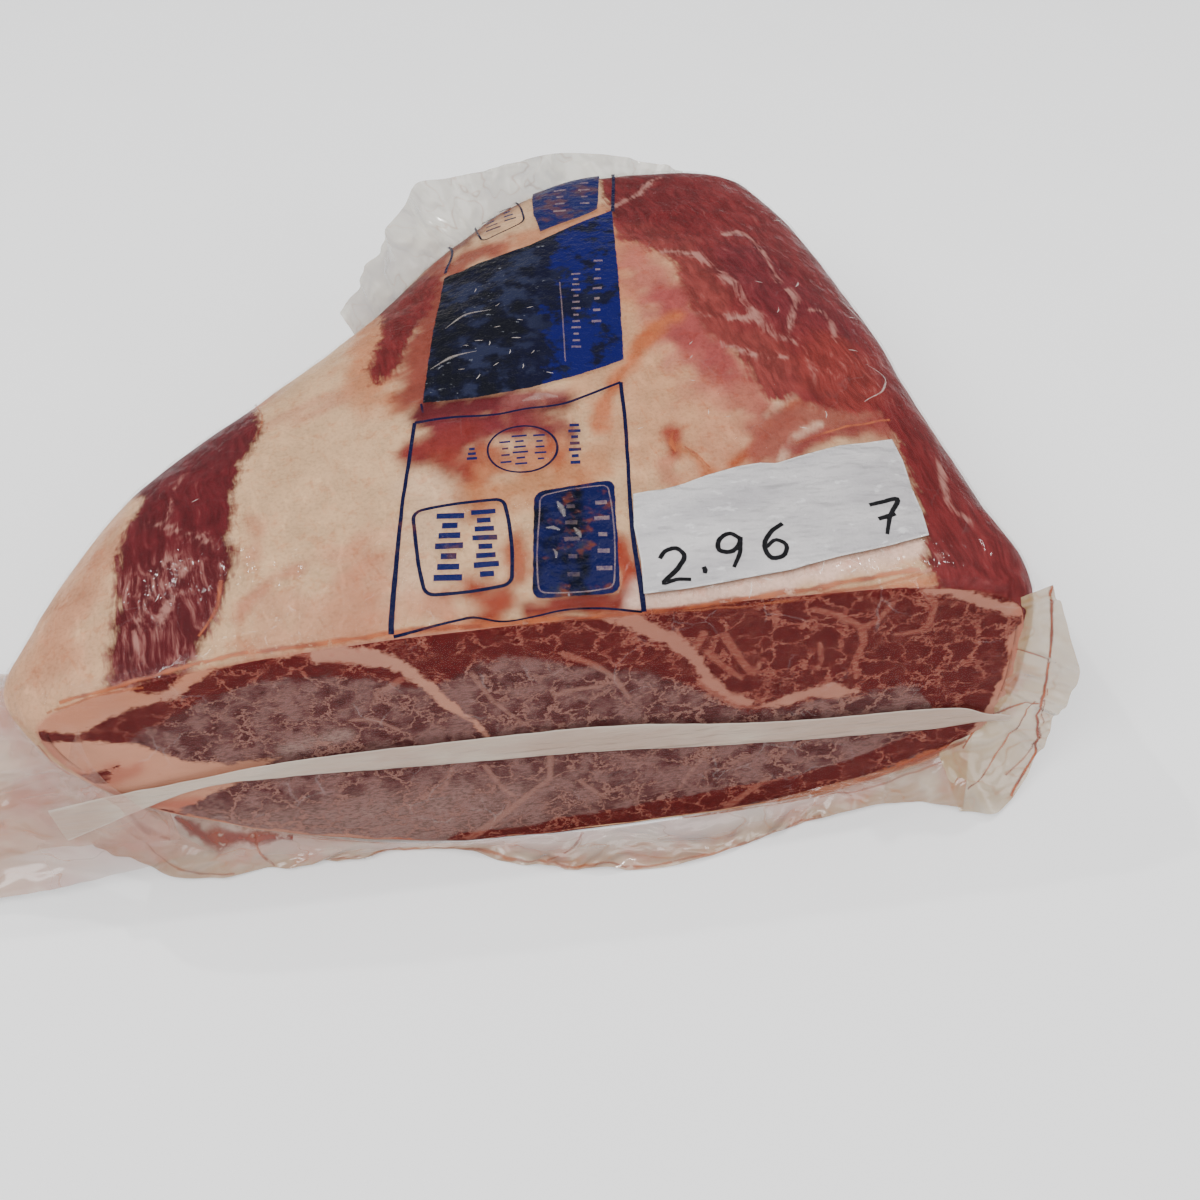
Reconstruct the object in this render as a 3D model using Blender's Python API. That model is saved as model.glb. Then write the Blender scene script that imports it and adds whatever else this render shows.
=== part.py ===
"""A block of raw beef sealed in a clear shrink bag, with a paper label on its top.

Units are metres and +Z is up. The straight cut face looks along -Y and runs along +X. The block
is a stack of closed slices, one behind the other from the cut face to the back. The loose film
(the bag's neck, its end fin and flange, its back fin, the skirt on the table and the folded side
seal) is made of thin ruffled sheets that are fused to the block.
"""
import math

import bmesh
import bpy
import numpy as np
from mathutils import Vector
from mathutils.bvhtree import BVHTree


def mm(*points):
    """Points written in millimetres, as an array in metres."""
    return np.array(points, dtype=float) / 1000.0


# Middle of the whole pack's box, which becomes the origin
BOX_MIDDLE = mm(-6.3, 93.9)

# The cut face leans back: its bottom edge is this far in front of its top edge
FACE_LEAN = 0.017
FACE_HEIGHT = 0.076
LEAN_FADES_OVER = 0.142

# Plan of the block: (depth behind the cut face, x of the edge)
LEFT_EDGE = mm((0, -104.5), (11.5, -113), (30.5, -108.5), (83.5, -80), (106.5, -57), (141.5, -24.5),
               (180.5, 5.5), (203.5, 34), (215, 61), (220.5, 80))
RIGHT_EDGE = mm((0, 155), (4, 157.5), (35, 155), (61, 150), (108.5, 143.5), (161.5, 135),
                (190, 127.5), (209, 116), (217.5, 105.5), (220.5, 97))

# Profile of the block along its depth: (depth behind the cut face, height)
CROWN_HEIGHT = mm((0, 76), (19, 79), (57, 81), (104.5, 80), (152, 75), (194.5, 70), (220.5, 66.5))
LEFT_WAIST = mm((0, 55), (57, 52), (142.5, 43.5), (220.5, 38))
RIGHT_WAIST = mm((0, 47.5), (76, 43.5), (220.5, 38))
BASE_SINK = 0.003
CREST_BLEND = 0.019
BACK_ROUNDING = 0.025

# How square each corner of a slice is: 2 is an ellipse, more is boxier
SQUARE_TOP_RIGHT = 4.2
SQUARE_TOP_LEFT = 2.5
SQUARE_LOW_LEFT = 1.8
SQUARE_LOW_RIGHT = 3.2
SLICE_POINTS = 64

# Slices of the rounded front edge: (depth, inset). Then the depths of the full slices.
FRONT_RINGS = mm((0, 4.3), (0.5, 2.1), (1.7, 0.7))
SLICE_DEPTHS = mm(4.7, 11.5, 21, 32, 45, 58.5, 72, 85, 98.5, 112, 125.5, 138.5, 152, 165, 177.5,
                  189, 198.5, 206, 212, 216.5, 219.5)

# Muscles and hollows that show on the top: (x, y, spread, rise)
SWELLINGS = mm((100, 114, 40, 3.8), (-68, 44, 25, 2.7), (57, 87, 19, -2.1), (-28, 67, 23, -1.7),
               (49, 161, 27, 2.1))

FILM = 0.0012
STRIP_PROUD = 0.0002
ABOVE_TABLE = 0.0002
LABEL_SIZE = (0.075, 0.0335)
LABEL_MIDDLE = (0.0895, 0.0240)
LABEL_TURN = math.radians(7.0)
LABEL_THICKNESS = 0.0004
LABEL_GAP = 0.0004
LABEL_CELLS = (14, 7)


def curve_through(knots, at):
    """Smooth curve through (position, value) knots, read at the given positions."""
    spots, values = np.array(knots, dtype=float).T
    slopes = np.gradient(values, spots)
    at = np.clip(at, spots[0], spots[-1])
    k = np.clip(np.searchsorted(spots, at) - 1, 0, len(spots) - 2)
    step = spots[k + 1] - spots[k]
    t = (at - spots[k]) / step
    rise = (3 - 2 * t) * t * t
    return (values[k] * (1 - rise) + values[k + 1] * rise
            + step * t * (1 - t) * ((1 - t) * slopes[k] - t * slopes[k + 1]))


def face_y(z):
    """Where the leaning cut face stands at a height."""
    return FACE_LEAN * (z / FACE_HEIGHT - 1.0)


def swelling(x, y):
    """Rise of the top surface over its muscles."""
    rise = 0.0
    for at_x, at_y, spread, height in SWELLINGS:
        away = (x - at_x) ** 2 + (y - at_y) ** 2
        rise = rise + height * np.exp(-away / (2 * spread ** 2))
    return rise


def slice_outline(depth, inset=0.0):
    """Points of one closed slice through the block, as an array of x, y, z rows."""
    left = curve_through(LEFT_EDGE, depth)
    right = curve_through(RIGHT_EDGE, depth)
    middle = (left + right) / 2
    half = (right - left) / 2
    into_back = max(0.0, depth - (LEFT_EDGE[-1][0] - BACK_ROUNDING)) / BACK_ROUNDING
    fullness = math.sqrt(1.0 - into_back ** 2)
    points = []
    for turn in np.linspace(0.0, 2 * math.pi, SLICE_POINTS, endpoint=False):
        across, up = math.cos(turn), math.sin(turn)
        if up >= 0:
            square = SQUARE_TOP_RIGHT if across >= 0 else SQUARE_TOP_LEFT
        else:
            square = SQUARE_LOW_RIGHT if across >= 0 else SQUARE_LOW_LEFT
        reach = (abs(across) ** square + abs(up) ** square) ** (-1.0 / square)
        to_right = (1 + reach * across) / 2
        waist = (curve_through(LEFT_WAIST, depth) * (1 - to_right)
                 + curve_through(RIGHT_WAIST, depth) * to_right)
        to_crest = curve_through(CROWN_HEIGHT, depth) - waist if up >= 0 else waist + BASE_SINK
        height = waist + fullness * to_crest * reach * up
        points.append((middle + half * reach * across, height, waist))
    x, z, waist = np.array(points).T
    if inset:
        along = np.stack([np.roll(x, -1) - np.roll(x, 1), np.roll(z, -1) - np.roll(z, 1)])
        along = along / np.linalg.norm(along, axis=0)
        x = x - inset * along[1]
        z = z + inset * along[0]
    lean = max(0.0, 1.0 - depth / LEAN_FADES_OVER)
    y = depth + lean * face_y(z)
    above = np.clip((z - waist) / CREST_BLEND, 0.0, 1.0)
    z = z + swelling(x, y) * above * min(1.0, depth / CREST_BLEND)
    return np.stack([x, y, np.maximum(z, 0.0)], axis=1)


def mesh_object(name, vertices, faces, material=None):
    """A mesh object in the scene, with its vertices moved to the origin's frame."""
    mesh = bpy.data.meshes.new(name)
    shift = (*BOX_MIDDLE, 0.0)
    moved = [tuple(a - b for a, b in zip(vertex, shift)) for vertex in vertices]
    mesh.from_pydata(moved, [], faces)
    mesh.validate()
    shape = bmesh.new()
    shape.from_mesh(mesh)
    bmesh.ops.recalc_face_normals(shape, faces=shape.faces)
    shape.to_mesh(mesh)
    shape.free()
    if material:
        mesh.materials.append(material)
    made = bpy.data.objects.new(name, mesh)
    bpy.context.scene.collection.objects.link(made)
    return made


def make_block(material):
    """The block of meat under its tight film, as one closed skin over the slices."""
    rings = [slice_outline(depth, inset) for depth, inset in FRONT_RINGS]
    rings += [slice_outline(depth) for depth in SLICE_DEPTHS]
    count = SLICE_POINTS
    faces = [list(range(count))]
    for ring in range(len(rings) - 1):
        for k in range(count):
            here, after = ring * count, (ring + 1) * count
            beside = (k + 1) % count
            faces.append([here + k, here + beside, after + beside, after + k])
    faces.append(list(range((len(rings) - 1) * count, len(rings) * count)))
    return mesh_object("vacuum_pack", np.concatenate(rings), faces, material)


def along_line(line, count):
    """Evenly spaced points on a smooth curve through a line's points."""
    steps = np.linalg.norm(np.diff(line, axis=0), axis=1)
    travelled = np.concatenate([[0.0], np.cumsum(steps)])
    at = np.linspace(0.0, travelled[-1], count)
    return np.stack([curve_through(list(zip(travelled, line[:, k])), at) for k in range(3)], axis=1)


def rim_quads(corner, columns, rows):
    """Quads that close the edge between the two layers of a grid."""
    rim = [(0, column) for column in range(columns)]
    rim += [(row, columns) for row in range(rows)]
    rim += [(rows, column) for column in range(columns, 0, -1)]
    rim += [(row, 0) for row in range(rows, 0, -1)]
    quads = []
    for k, here in enumerate(rim):
        there = rim[(k + 1) % len(rim)]
        quads.append([corner(*here, 0), corner(*there, 0), corner(*there, 1), corner(*here, 1)])
    return quads


def two_layer_object(name, lower, upper, material=None):
    """A thin closed solid between two grids of points of the same shape."""
    rows, columns = lower.shape[0] - 1, lower.shape[1] - 1
    side = (rows + 1) * (columns + 1)

    def corner(row, column, layer):
        return layer * side + row * (columns + 1) + column

    faces = rim_quads(corner, columns, rows)
    for row in range(rows):
        for column in range(columns):
            for layer in (0, 1):
                faces.append([corner(row, column, layer), corner(row, column + 1, layer),
                              corner(row + 1, column + 1, layer), corner(row + 1, column, layer)])
    both = np.concatenate([lower.reshape(-1, 3), upper.reshape(-1, 3)])
    return mesh_object(name, both, faces, material)


def make_sheet(name, guides, cells, ruffle=0.0, waves=0.0):
    """A thin closed sheet of film through guide lines, the first one buried in the block."""
    columns, rows = cells
    lines = np.stack([along_line(guide, columns + 1) for guide in guides])
    spots = np.linspace(0.0, 1.0, len(guides))
    grid = np.empty((rows + 1, columns + 1, 3))
    for column in range(columns + 1):
        for axis in range(3):
            knots = list(zip(spots, lines[:, column, axis]))
            grid[:, column, axis] = curve_through(knots, np.linspace(0.0, 1.0, rows + 1))
    normal = np.cross(np.gradient(grid, axis=1), np.gradient(grid, axis=0))
    normal = normal / np.linalg.norm(normal, axis=2, keepdims=True)
    outward = np.linspace(0.0, 1.0, rows + 1)[:, None, None]
    wave = np.sin(2 * math.pi * waves * np.linspace(0.0, 1.0, columns + 1))[None, :, None]
    grid = grid + normal * wave * outward * ruffle
    layers = [grid - normal * FILM / 2, grid + normal * FILM / 2]
    for layer in layers:
        layer[..., 2] = np.maximum(layer[..., 2], ABOVE_TABLE)
    return two_layer_object(name, *layers)


def on_face(points):
    """Places (x, z) on the leaning cut face, a little proud of it."""
    x, z = points.T
    return np.stack([x, face_y(z) - STRIP_PROUD, z], axis=1)


def bag_neck():
    """The bag's flattened neck, which leaves the block's left tip and fans out to its end seal."""
    root = mm((-78, -9.5, 9.5), (-81, -2, 30.5), (-89.5, 7.5, 49.5), (-91, 19, 59))
    throat = mm((-127.5, -4.5, 3), (-124.5, 5.5, 17), (-120.5, 14, 29.5), (-117, 23, 40))
    end = mm((-175.5, -28.5, 2), (-180.5, -2, 5.5), (-180.5, 26.5, 8.5), (-175, 55, 13.5))
    return make_sheet("bag_neck", [root, throat, end], (24, 10), ruffle=0.0030, waves=3.5)


def table_skirt():
    """Loose film that hangs from the cut face's bottom edge and spreads on the table."""
    root = mm((-91, -2, 32.5), (-74, -6.5, 22), (-47.5, -9.5, 13.5), (-19, -11.5, 6.5), (19, -11.5, 4),
              (57, -11.5, 4), (95, -11.5, 8.5), (123.5, -10.5, 14), (144.5, -9.5, 23))
    hem = mm((-113, 2, 1.3), (-95, -8.5, 1.3), (-79, -16.5, 1.3), (-47.5, -17.5, 1.3),
             (-9.5, -17.5, 1.3), (21, -27.5, 1.3), (57, -31.5, 1.3), (93, -24, 1.3),
             (115, -20.5, 1.3), (140.5, -24.5, 1.5))
    return make_sheet("table_skirt", [root, hem], (44, 4), ruffle=0.0008, waves=9.0)


def end_fin():
    """The pleated fin of the bag's closed end, in front of the block's right end."""
    root = mm((133, -9.5, 17), (143.5, -7.5, 28.5), (148, -4, 45.5), (149, 1, 61))
    rim = mm((139.5, -26.5, 1.5), (150, -27.5, 1.5), (160.5, -20, 5.5), (166, -14, 24),
             (169, -12.5, 41), (162.5, -7.5, 59), (157, -3, 71))
    return make_sheet("end_fin", [root, rim], (24, 6), ruffle=0.0011, waves=4.0)


def end_flange():
    """The low flange of the closed end's seal along the block's right side."""
    depths, heights = mm((5.5, 57), (38, 43.5), (76, 40), (114, 40), (152, 40), (186, 40)).T
    buried, width = 0.004, 0.011
    root = np.stack([curve_through(RIGHT_EDGE, depths) - buried, depths, heights], axis=1)
    rim = root + np.array((width, -0.001, -0.003))
    return make_sheet("end_flange", [root, rim], (24, 2), ruffle=0.0010, waves=7.0)


def back_fin():
    """The side seal's fin that stands off the block's back left edge."""
    root = mm((-19, 135, 59), (-4, 156, 57), (13.5, 173, 57), (38, 192, 53), (68.5, 201.5, 49.5),
              (95, 201.5, 47.5))
    rim = mm((-23, 137, 69.5), (-11.5, 156, 76), (-1, 177.5, 79), (4, 189, 80), (14, 192, 79),
             (28.5, 198.5, 77), (52, 210, 74), (78, 216.5, 66.5), (100.5, 216.5, 59))
    return make_sheet("back_fin", [root, rim], (30, 5), ruffle=0.0013, waves=5.5)


def side_seal():
    """The other side seal, folded flat across the cut face from the neck to the end fin."""
    lower = mm((-104.5, 21), (-81, 28.5), (-57, 33.5), (-15, 33.5), (38, 30.5), (65.5, 27.5),
               (93, 25.5), (134, 24.5), (151, 24))
    upper = mm((-106.5, 32.5), (-85.5, 35.5), (-53, 39), (-15, 40.5), (38, 38.5), (70.5, 36),
               (93, 33.5), (133, 31.5), (151, 28))
    return make_sheet("side_seal", [on_face(lower), on_face(upper)], (30, 1))


def fuse(block, sheets):
    """Join the film sheets to the block as one closed solid."""
    group = bpy.data.collections.new("film_sheets")
    bpy.context.scene.collection.children.link(group)
    for sheet in sheets:
        bpy.context.scene.collection.objects.unlink(sheet)
        group.objects.link(sheet)
    union = block.modifiers.new("film", "BOOLEAN")
    union.operation = "UNION"
    union.operand_type = "COLLECTION"
    union.collection = group
    union.solver = "EXACT"
    union.use_self = True
    bpy.context.view_layer.update()
    seen = block.evaluated_get(bpy.context.evaluated_depsgraph_get())
    fused = bpy.data.meshes.new_from_object(seen)
    block.modifiers.clear()
    block.data = fused
    for sheet in sheets:
        bpy.data.objects.remove(sheet, do_unlink=True)
    bpy.data.collections.remove(group)


def make_label(block, material):
    """A thin hand-cut paper label that follows the block's top, its ends square to the cut face."""
    skin = bmesh.new()
    skin.from_mesh(block.data)
    tree = BVHTree.FromBMesh(skin)
    columns, rows = LABEL_CELLS
    slope = math.tan(LABEL_TURN)
    top = np.empty((rows + 1, columns + 1, 3))
    for row in range(rows + 1):
        for column in range(columns + 1):
            along = (column / columns - 0.5) * LABEL_SIZE[0]
            x = LABEL_MIDDLE[0] + along
            y = LABEL_MIDDLE[1] + along * slope + (row / rows - 0.5) * LABEL_SIZE[1]
            above = Vector((x - BOX_MIDDLE[0], y - BOX_MIDDLE[1], 2 * FACE_HEIGHT))
            place = tree.ray_cast(above, Vector((0, 0, -1)))[0]
            top[row, column] = (x, y, place.z)
    skin.free()
    rise = np.array((0.0, 0.0, 1.0))
    lower = top + rise * LABEL_GAP
    return two_layer_object("label", lower, lower + rise * LABEL_THICKNESS, material)


def principled(name, colour, roughness, coat=0.0):
    """A plain material with one Principled shader."""
    material = bpy.data.materials.new(name)
    material.use_nodes = True
    shader = material.node_tree.nodes["Principled BSDF"]
    shader.inputs["Base Color"].default_value = (*colour, 1.0)
    shader.inputs["Roughness"].default_value = roughness
    shader.inputs["Metallic"].default_value = 0.0
    shader.inputs["Coat Weight"].default_value = coat
    return material


def main():
    for old in list(bpy.data.objects):
        bpy.data.objects.remove(old, do_unlink=True)
    beef = principled("wrapped_beef", (0.36, 0.13, 0.11), 0.32, coat=0.6)
    paper = principled("label_paper", (0.56, 0.57, 0.56), 0.55)
    block = make_block(beef)
    fuse(block, [bag_neck(), table_skirt(), end_fin(), end_flange(), back_fin(), side_seal()])
    label = make_label(block, paper)
    for made in (block, label):
        made.data.shade_smooth()
        made.data.set_sharp_from_angle(angle=math.radians(40))


main()
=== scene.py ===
"""Looks of a block of raw beef sealed in a clear shrink bag, with printed film and a paper label.

Sizes are millimetres until a mesh is made. Places are given in the block's own frame: x runs along
the cut face, y goes back from it and z is the height above the table.
"""

import math
from functools import partial

import bpy
import numpy as np
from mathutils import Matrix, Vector, noise
from mathutils.bvhtree import BVHTree


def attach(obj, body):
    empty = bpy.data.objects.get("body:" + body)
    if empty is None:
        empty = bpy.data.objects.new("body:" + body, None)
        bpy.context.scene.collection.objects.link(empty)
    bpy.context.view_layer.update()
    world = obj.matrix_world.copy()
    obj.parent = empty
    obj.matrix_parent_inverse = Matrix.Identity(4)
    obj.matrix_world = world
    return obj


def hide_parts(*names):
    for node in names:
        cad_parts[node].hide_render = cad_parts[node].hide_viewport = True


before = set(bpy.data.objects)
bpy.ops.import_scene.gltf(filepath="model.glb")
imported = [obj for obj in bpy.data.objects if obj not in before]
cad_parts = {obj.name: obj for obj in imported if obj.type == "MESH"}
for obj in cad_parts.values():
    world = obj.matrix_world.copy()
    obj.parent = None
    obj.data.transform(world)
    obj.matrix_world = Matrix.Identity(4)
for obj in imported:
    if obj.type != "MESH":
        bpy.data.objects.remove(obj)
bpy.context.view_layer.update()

# The block's own frame is moved by this much (x, y) to put the pack's middle at the origin
PACK_MIDDLE = (-6.3, 93.9)

# Form of the block

# The cut face leans back by this much over its height, and the lean fades towards the back
FACE_LEAN = 17.0
FACE_HEIGHT = 76.0
LEAN_FADES_OVER = 142.0
# Outlines of the block at each depth: (depth, x) or (depth, z)
LEFT_EDGE = [
    (0, -104.5), (11.5, -113), (30.5, -108.5), (83.5, -80), (106.5, -57), (141.5, -24.5),
    (180.5, 5.5), (203.5, 34), (215, 61), (220.5, 80)]
RIGHT_EDGE = [
    (0, 155), (4, 157.5), (35, 155), (61, 150), (108.5, 143.5), (161.5, 135),
    (190, 127.5), (209, 116), (217.5, 105.5), (220.5, 97)]
CROWN_HEIGHT = [(0, 76), (19, 79), (57, 81), (104.5, 80), (152, 75), (194.5, 70), (220.5, 66.5)]
LEFT_WAIST = [(0, 55), (57, 52), (142.5, 43.5), (220.5, 38)]
RIGHT_WAIST = [(0, 47.5), (76, 43.5), (220.5, 38)]
BASE_SINK = 3.0
CREST_BLEND = 19.0
BACK_ROUNDING = 25.0
# How square the slices are in each quarter: 2 is an ellipse
SQUARE_TOP_RIGHT, SQUARE_TOP_LEFT = 4.2, 2.5
SQUARE_LOW_LEFT, SQUARE_LOW_RIGHT = 1.8, 3.2
# The front edge is rounded by slices drawn in: (depth, inset)
FRONT_RINGS = [(0, 4.3), (0.25, 3.0), (0.5, 2.1), (1.0, 1.25), (1.7, 0.7)]
FIRST_EVEN_DEPTH, LAST_EVEN_DEPTH = 2.8, 203.0
BACK_DEPTHS = [205, 207.5, 210, 212.2, 214.2, 216, 217.5, 218.6, 219.5, 220.1]
RINGS_ON_CUT = 2
# A slice of this size sets how the points are spaced round each slice
MIDDLE_HALF_WIDTH, MIDDLE_HALF_HEIGHT, TURN_SAMPLES = 130.0, 34.0, 4001
# Muscles and hollows that show on the top: (x, y, spread, rise)
SWELLINGS = [
    (100, 114, 40, 3.8), (-68, 44, 25, 2.7), (57, 87, 19, -2.1), (-28, 67, 23, -1.7),
    (49, 161, 27, 2.1)]


def curve_through(knots, at):
    """Smooth curve through (position, value) knots, read at the given positions."""
    spots, values = np.array(knots, dtype=float).T
    slopes = np.gradient(values, spots)
    at = np.clip(at, spots[0], spots[-1])
    k = np.clip(np.searchsorted(spots, at) - 1, 0, len(spots) - 2)
    step = spots[k + 1] - spots[k]
    t = (at - spots[k]) / step
    rise = (3 - 2 * t) * t * t
    return (values[k] * (1 - rise) + values[k + 1] * rise
            + step * t * (1 - t) * ((1 - t) * slopes[k] - t * slopes[k + 1]))


def face_y(z):
    """Where the leaning cut face stands at a height."""
    return FACE_LEAN * (z / FACE_HEIGHT - 1.0)


def even_turns(half_count):
    """Angles round a slice that space its points evenly, mirrored below its waist."""
    fine = np.linspace(0.0, math.pi, TURN_SAMPLES)
    square = np.where(np.cos(fine) >= 0, SQUARE_TOP_RIGHT, SQUARE_TOP_LEFT)
    reach = (np.abs(np.cos(fine)) ** square + np.abs(np.sin(fine)) ** square) ** (-1.0 / square)
    outline = np.stack([MIDDLE_HALF_WIDTH * reach * np.cos(fine), MIDDLE_HALF_HEIGHT * reach * np.sin(fine)])
    travelled = np.concatenate([[0.0], np.cumsum(np.linalg.norm(np.diff(outline), axis=0))])
    upper = np.interp(np.linspace(0.0, travelled[-1], half_count + 1), travelled, fine)
    return np.concatenate([upper, -upper[-2:0:-1]])


def slice_outline(turns, depth, inset=0.0):
    """Points of one closed slice through the block, as rows of x, y, z."""
    left, right = curve_through(LEFT_EDGE, depth), curve_through(RIGHT_EDGE, depth)
    middle, half = (left + right) / 2, (right - left) / 2
    into_back = max(0.0, depth - (LEFT_EDGE[-1][0] - BACK_ROUNDING)) / BACK_ROUNDING
    fullness = math.sqrt(1.0 - into_back ** 2)
    across, up = np.cos(turns), np.sin(turns)
    square = np.where(up >= 0, np.where(across >= 0, SQUARE_TOP_RIGHT, SQUARE_TOP_LEFT),
                      np.where(across >= 0, SQUARE_LOW_RIGHT, SQUARE_LOW_LEFT))
    reach = (np.abs(across) ** square + np.abs(up) ** square) ** (-1.0 / square)
    to_right = (1 + reach * across) / 2
    waist = (curve_through(LEFT_WAIST, depth) * (1 - to_right)
             + curve_through(RIGHT_WAIST, depth) * to_right)
    to_crest = np.where(up >= 0, curve_through(CROWN_HEIGHT, depth) - waist, waist + BASE_SINK)
    x = middle + half * reach * across
    z = waist + fullness * to_crest * reach * up
    if inset:
        along = np.stack([np.roll(x, -1) - np.roll(x, 1), np.roll(z, -1) - np.roll(z, 1)])
        along = along / np.linalg.norm(along, axis=0)
        x, z = x - inset * along[1], z + inset * along[0]
    lean = max(0.0, 1.0 - depth / LEAN_FADES_OVER)
    y = depth + lean * face_y(z)
    above = np.clip((z - waist) / CREST_BLEND, 0.0, 1.0) * min(1.0, depth / CREST_BLEND)
    for at_x, at_y, spread, height in SWELLINGS:
        z = z + height * above * np.exp(-((x - at_x) ** 2 + (y - at_y) ** 2) / (2 * spread ** 2))
    return np.stack([x, y, np.maximum(z, 0.0)], axis=1)


def noise_at(points, size, seed=0.0):
    """Smooth noise in -1..1 at the given points, with features of about the given size."""
    return np.array([noise.noise((p[0] / size + seed, p[1] / size - seed, p[2] / size + 2 * seed))
                     for p in points])


# Distances in the flat, for painting regions onto the block

def line_distance(places, line):
    """Distance from each place to a polyline, and how far along it (0..1) the nearest point is."""
    line = np.array(line, dtype=float)
    best = np.full(len(places), 1e9)
    along = np.zeros(len(places))
    for k in range(len(line) - 1):
        step = line[k + 1] - line[k]
        t = np.clip((places - line[k]) @ step / (step @ step), 0.0, 1.0)
        away = np.linalg.norm(places - line[k] - t[:, None] * step, axis=1)
        nearer = away < best
        best = np.where(nearer, away, best)
        along = np.where(nearer, (k + t) / (len(line) - 1), along)
    return best, along


def inside(places, outline):
    """Signed distance to a closed outline, positive inside it."""
    corners = np.array(outline, dtype=float)
    closed = np.vstack([corners, corners[:1]])
    away, _ = line_distance(places, closed)
    within = np.zeros(len(places), dtype=bool)
    for (ax, ay), (bx, by) in zip(closed[:-1], closed[1:]):
        crosses = (ay > places[:, 1]) != (by > places[:, 1])
        at = ax + (places[:, 1] - ay) * (bx - ax) / (by - ay if by != ay else 1e-9)
        within ^= crosses & (places[:, 0] < at)
    return np.where(within, away, -away)


def seam_field(places, seams):
    """Signed distance to the nearest of several tapering seams, positive inside a seam."""
    field = np.full(len(places), -1e9)
    for width_start, width_end, line in seams:
        away, along = line_distance(places, line)
        half = (width_start + (width_end - width_start) * along) / 2
        field = np.maximum(field, half - away)
    return field


def soft(value, low, high):
    """Smooth step from 0 at low to 1 at high."""
    t = np.clip((value - low) / (high - low), 0.0, 1.0)
    return t * t * (3 - 2 * t)


# Meshes

# Heights above the tight film of what lies on it, and depths of what lies under it
BEEF_UNDER, FILM_UNDER = 0.9, 0.15
PRINT_OVER, LIGHT_PRINT_OVER = 0.3, 0.36
MEAT_OVER, JUICE_OVER, WRINKLES_OVER = 0.2, 0.25, 0.35
LABEL_OVER, WRITING_OVER = 0.75, 0.92
# Least heights above the table of the block and of the loose film
TABLE_GAP, LOOSE_FILM_GAP = 0.3, 0.5
# Heights of the low lumps of the meat
BROAD_LUMPS, FINE_LUMPS = 0.55, 0.22
# Thickness of the paper in metres
PAPER_THICKNESS = 0.0002
# A height above everything, to look down from
ABOVE_ALL = 200.0
# Points across a line on the film, and their spacing along it
STRIP_LANES, STRIP_STEP = 5, 0.9
# Spacing of the points of flat shapes on the film
LABEL_STEP, PRINT_STEP = 0.8, 1.0


def to_metres(points):
    """Points of the block's own frame in millimetres, as world coordinates in metres."""
    return (np.asarray(points, dtype=float) - (*PACK_MIDDLE, 0.0)) / 1000.0


def piece(name, points, faces, materials):
    """A mesh object of the wrapped block, riding on its one body."""
    mesh = bpy.data.meshes.new(name)
    mesh.from_pydata([tuple(p) for p in to_metres(points)], [], faces)
    for material in materials:
        mesh.materials.append(material)
    mesh.shade_smooth()
    made = bpy.data.objects.new(name, mesh)
    bpy.context.scene.collection.objects.link(made)
    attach(made, "root")
    return made


def keep(made, name, values):
    """Store one number or one colour for each point of a mesh."""
    values = np.asarray(values, dtype=float)
    if values.ndim == 1:
        layer = made.data.attributes.new(name, "FLOAT", "POINT")
        layer.data.foreach_set("value", values)
    else:
        layer = made.data.attributes.new(name, "FLOAT_COLOR", "POINT")
        layer.data.foreach_set("color", np.hstack([values, np.ones((len(values), 1))]).ravel())


def grid_faces(rows, columns, start=0):
    """Quads of a grid of points stored row by row."""
    return [[start + r * columns + c, start + r * columns + c + 1,
             start + (r + 1) * columns + c + 1, start + (r + 1) * columns + c]
            for r in range(rows - 1) for c in range(columns - 1)]


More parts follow.
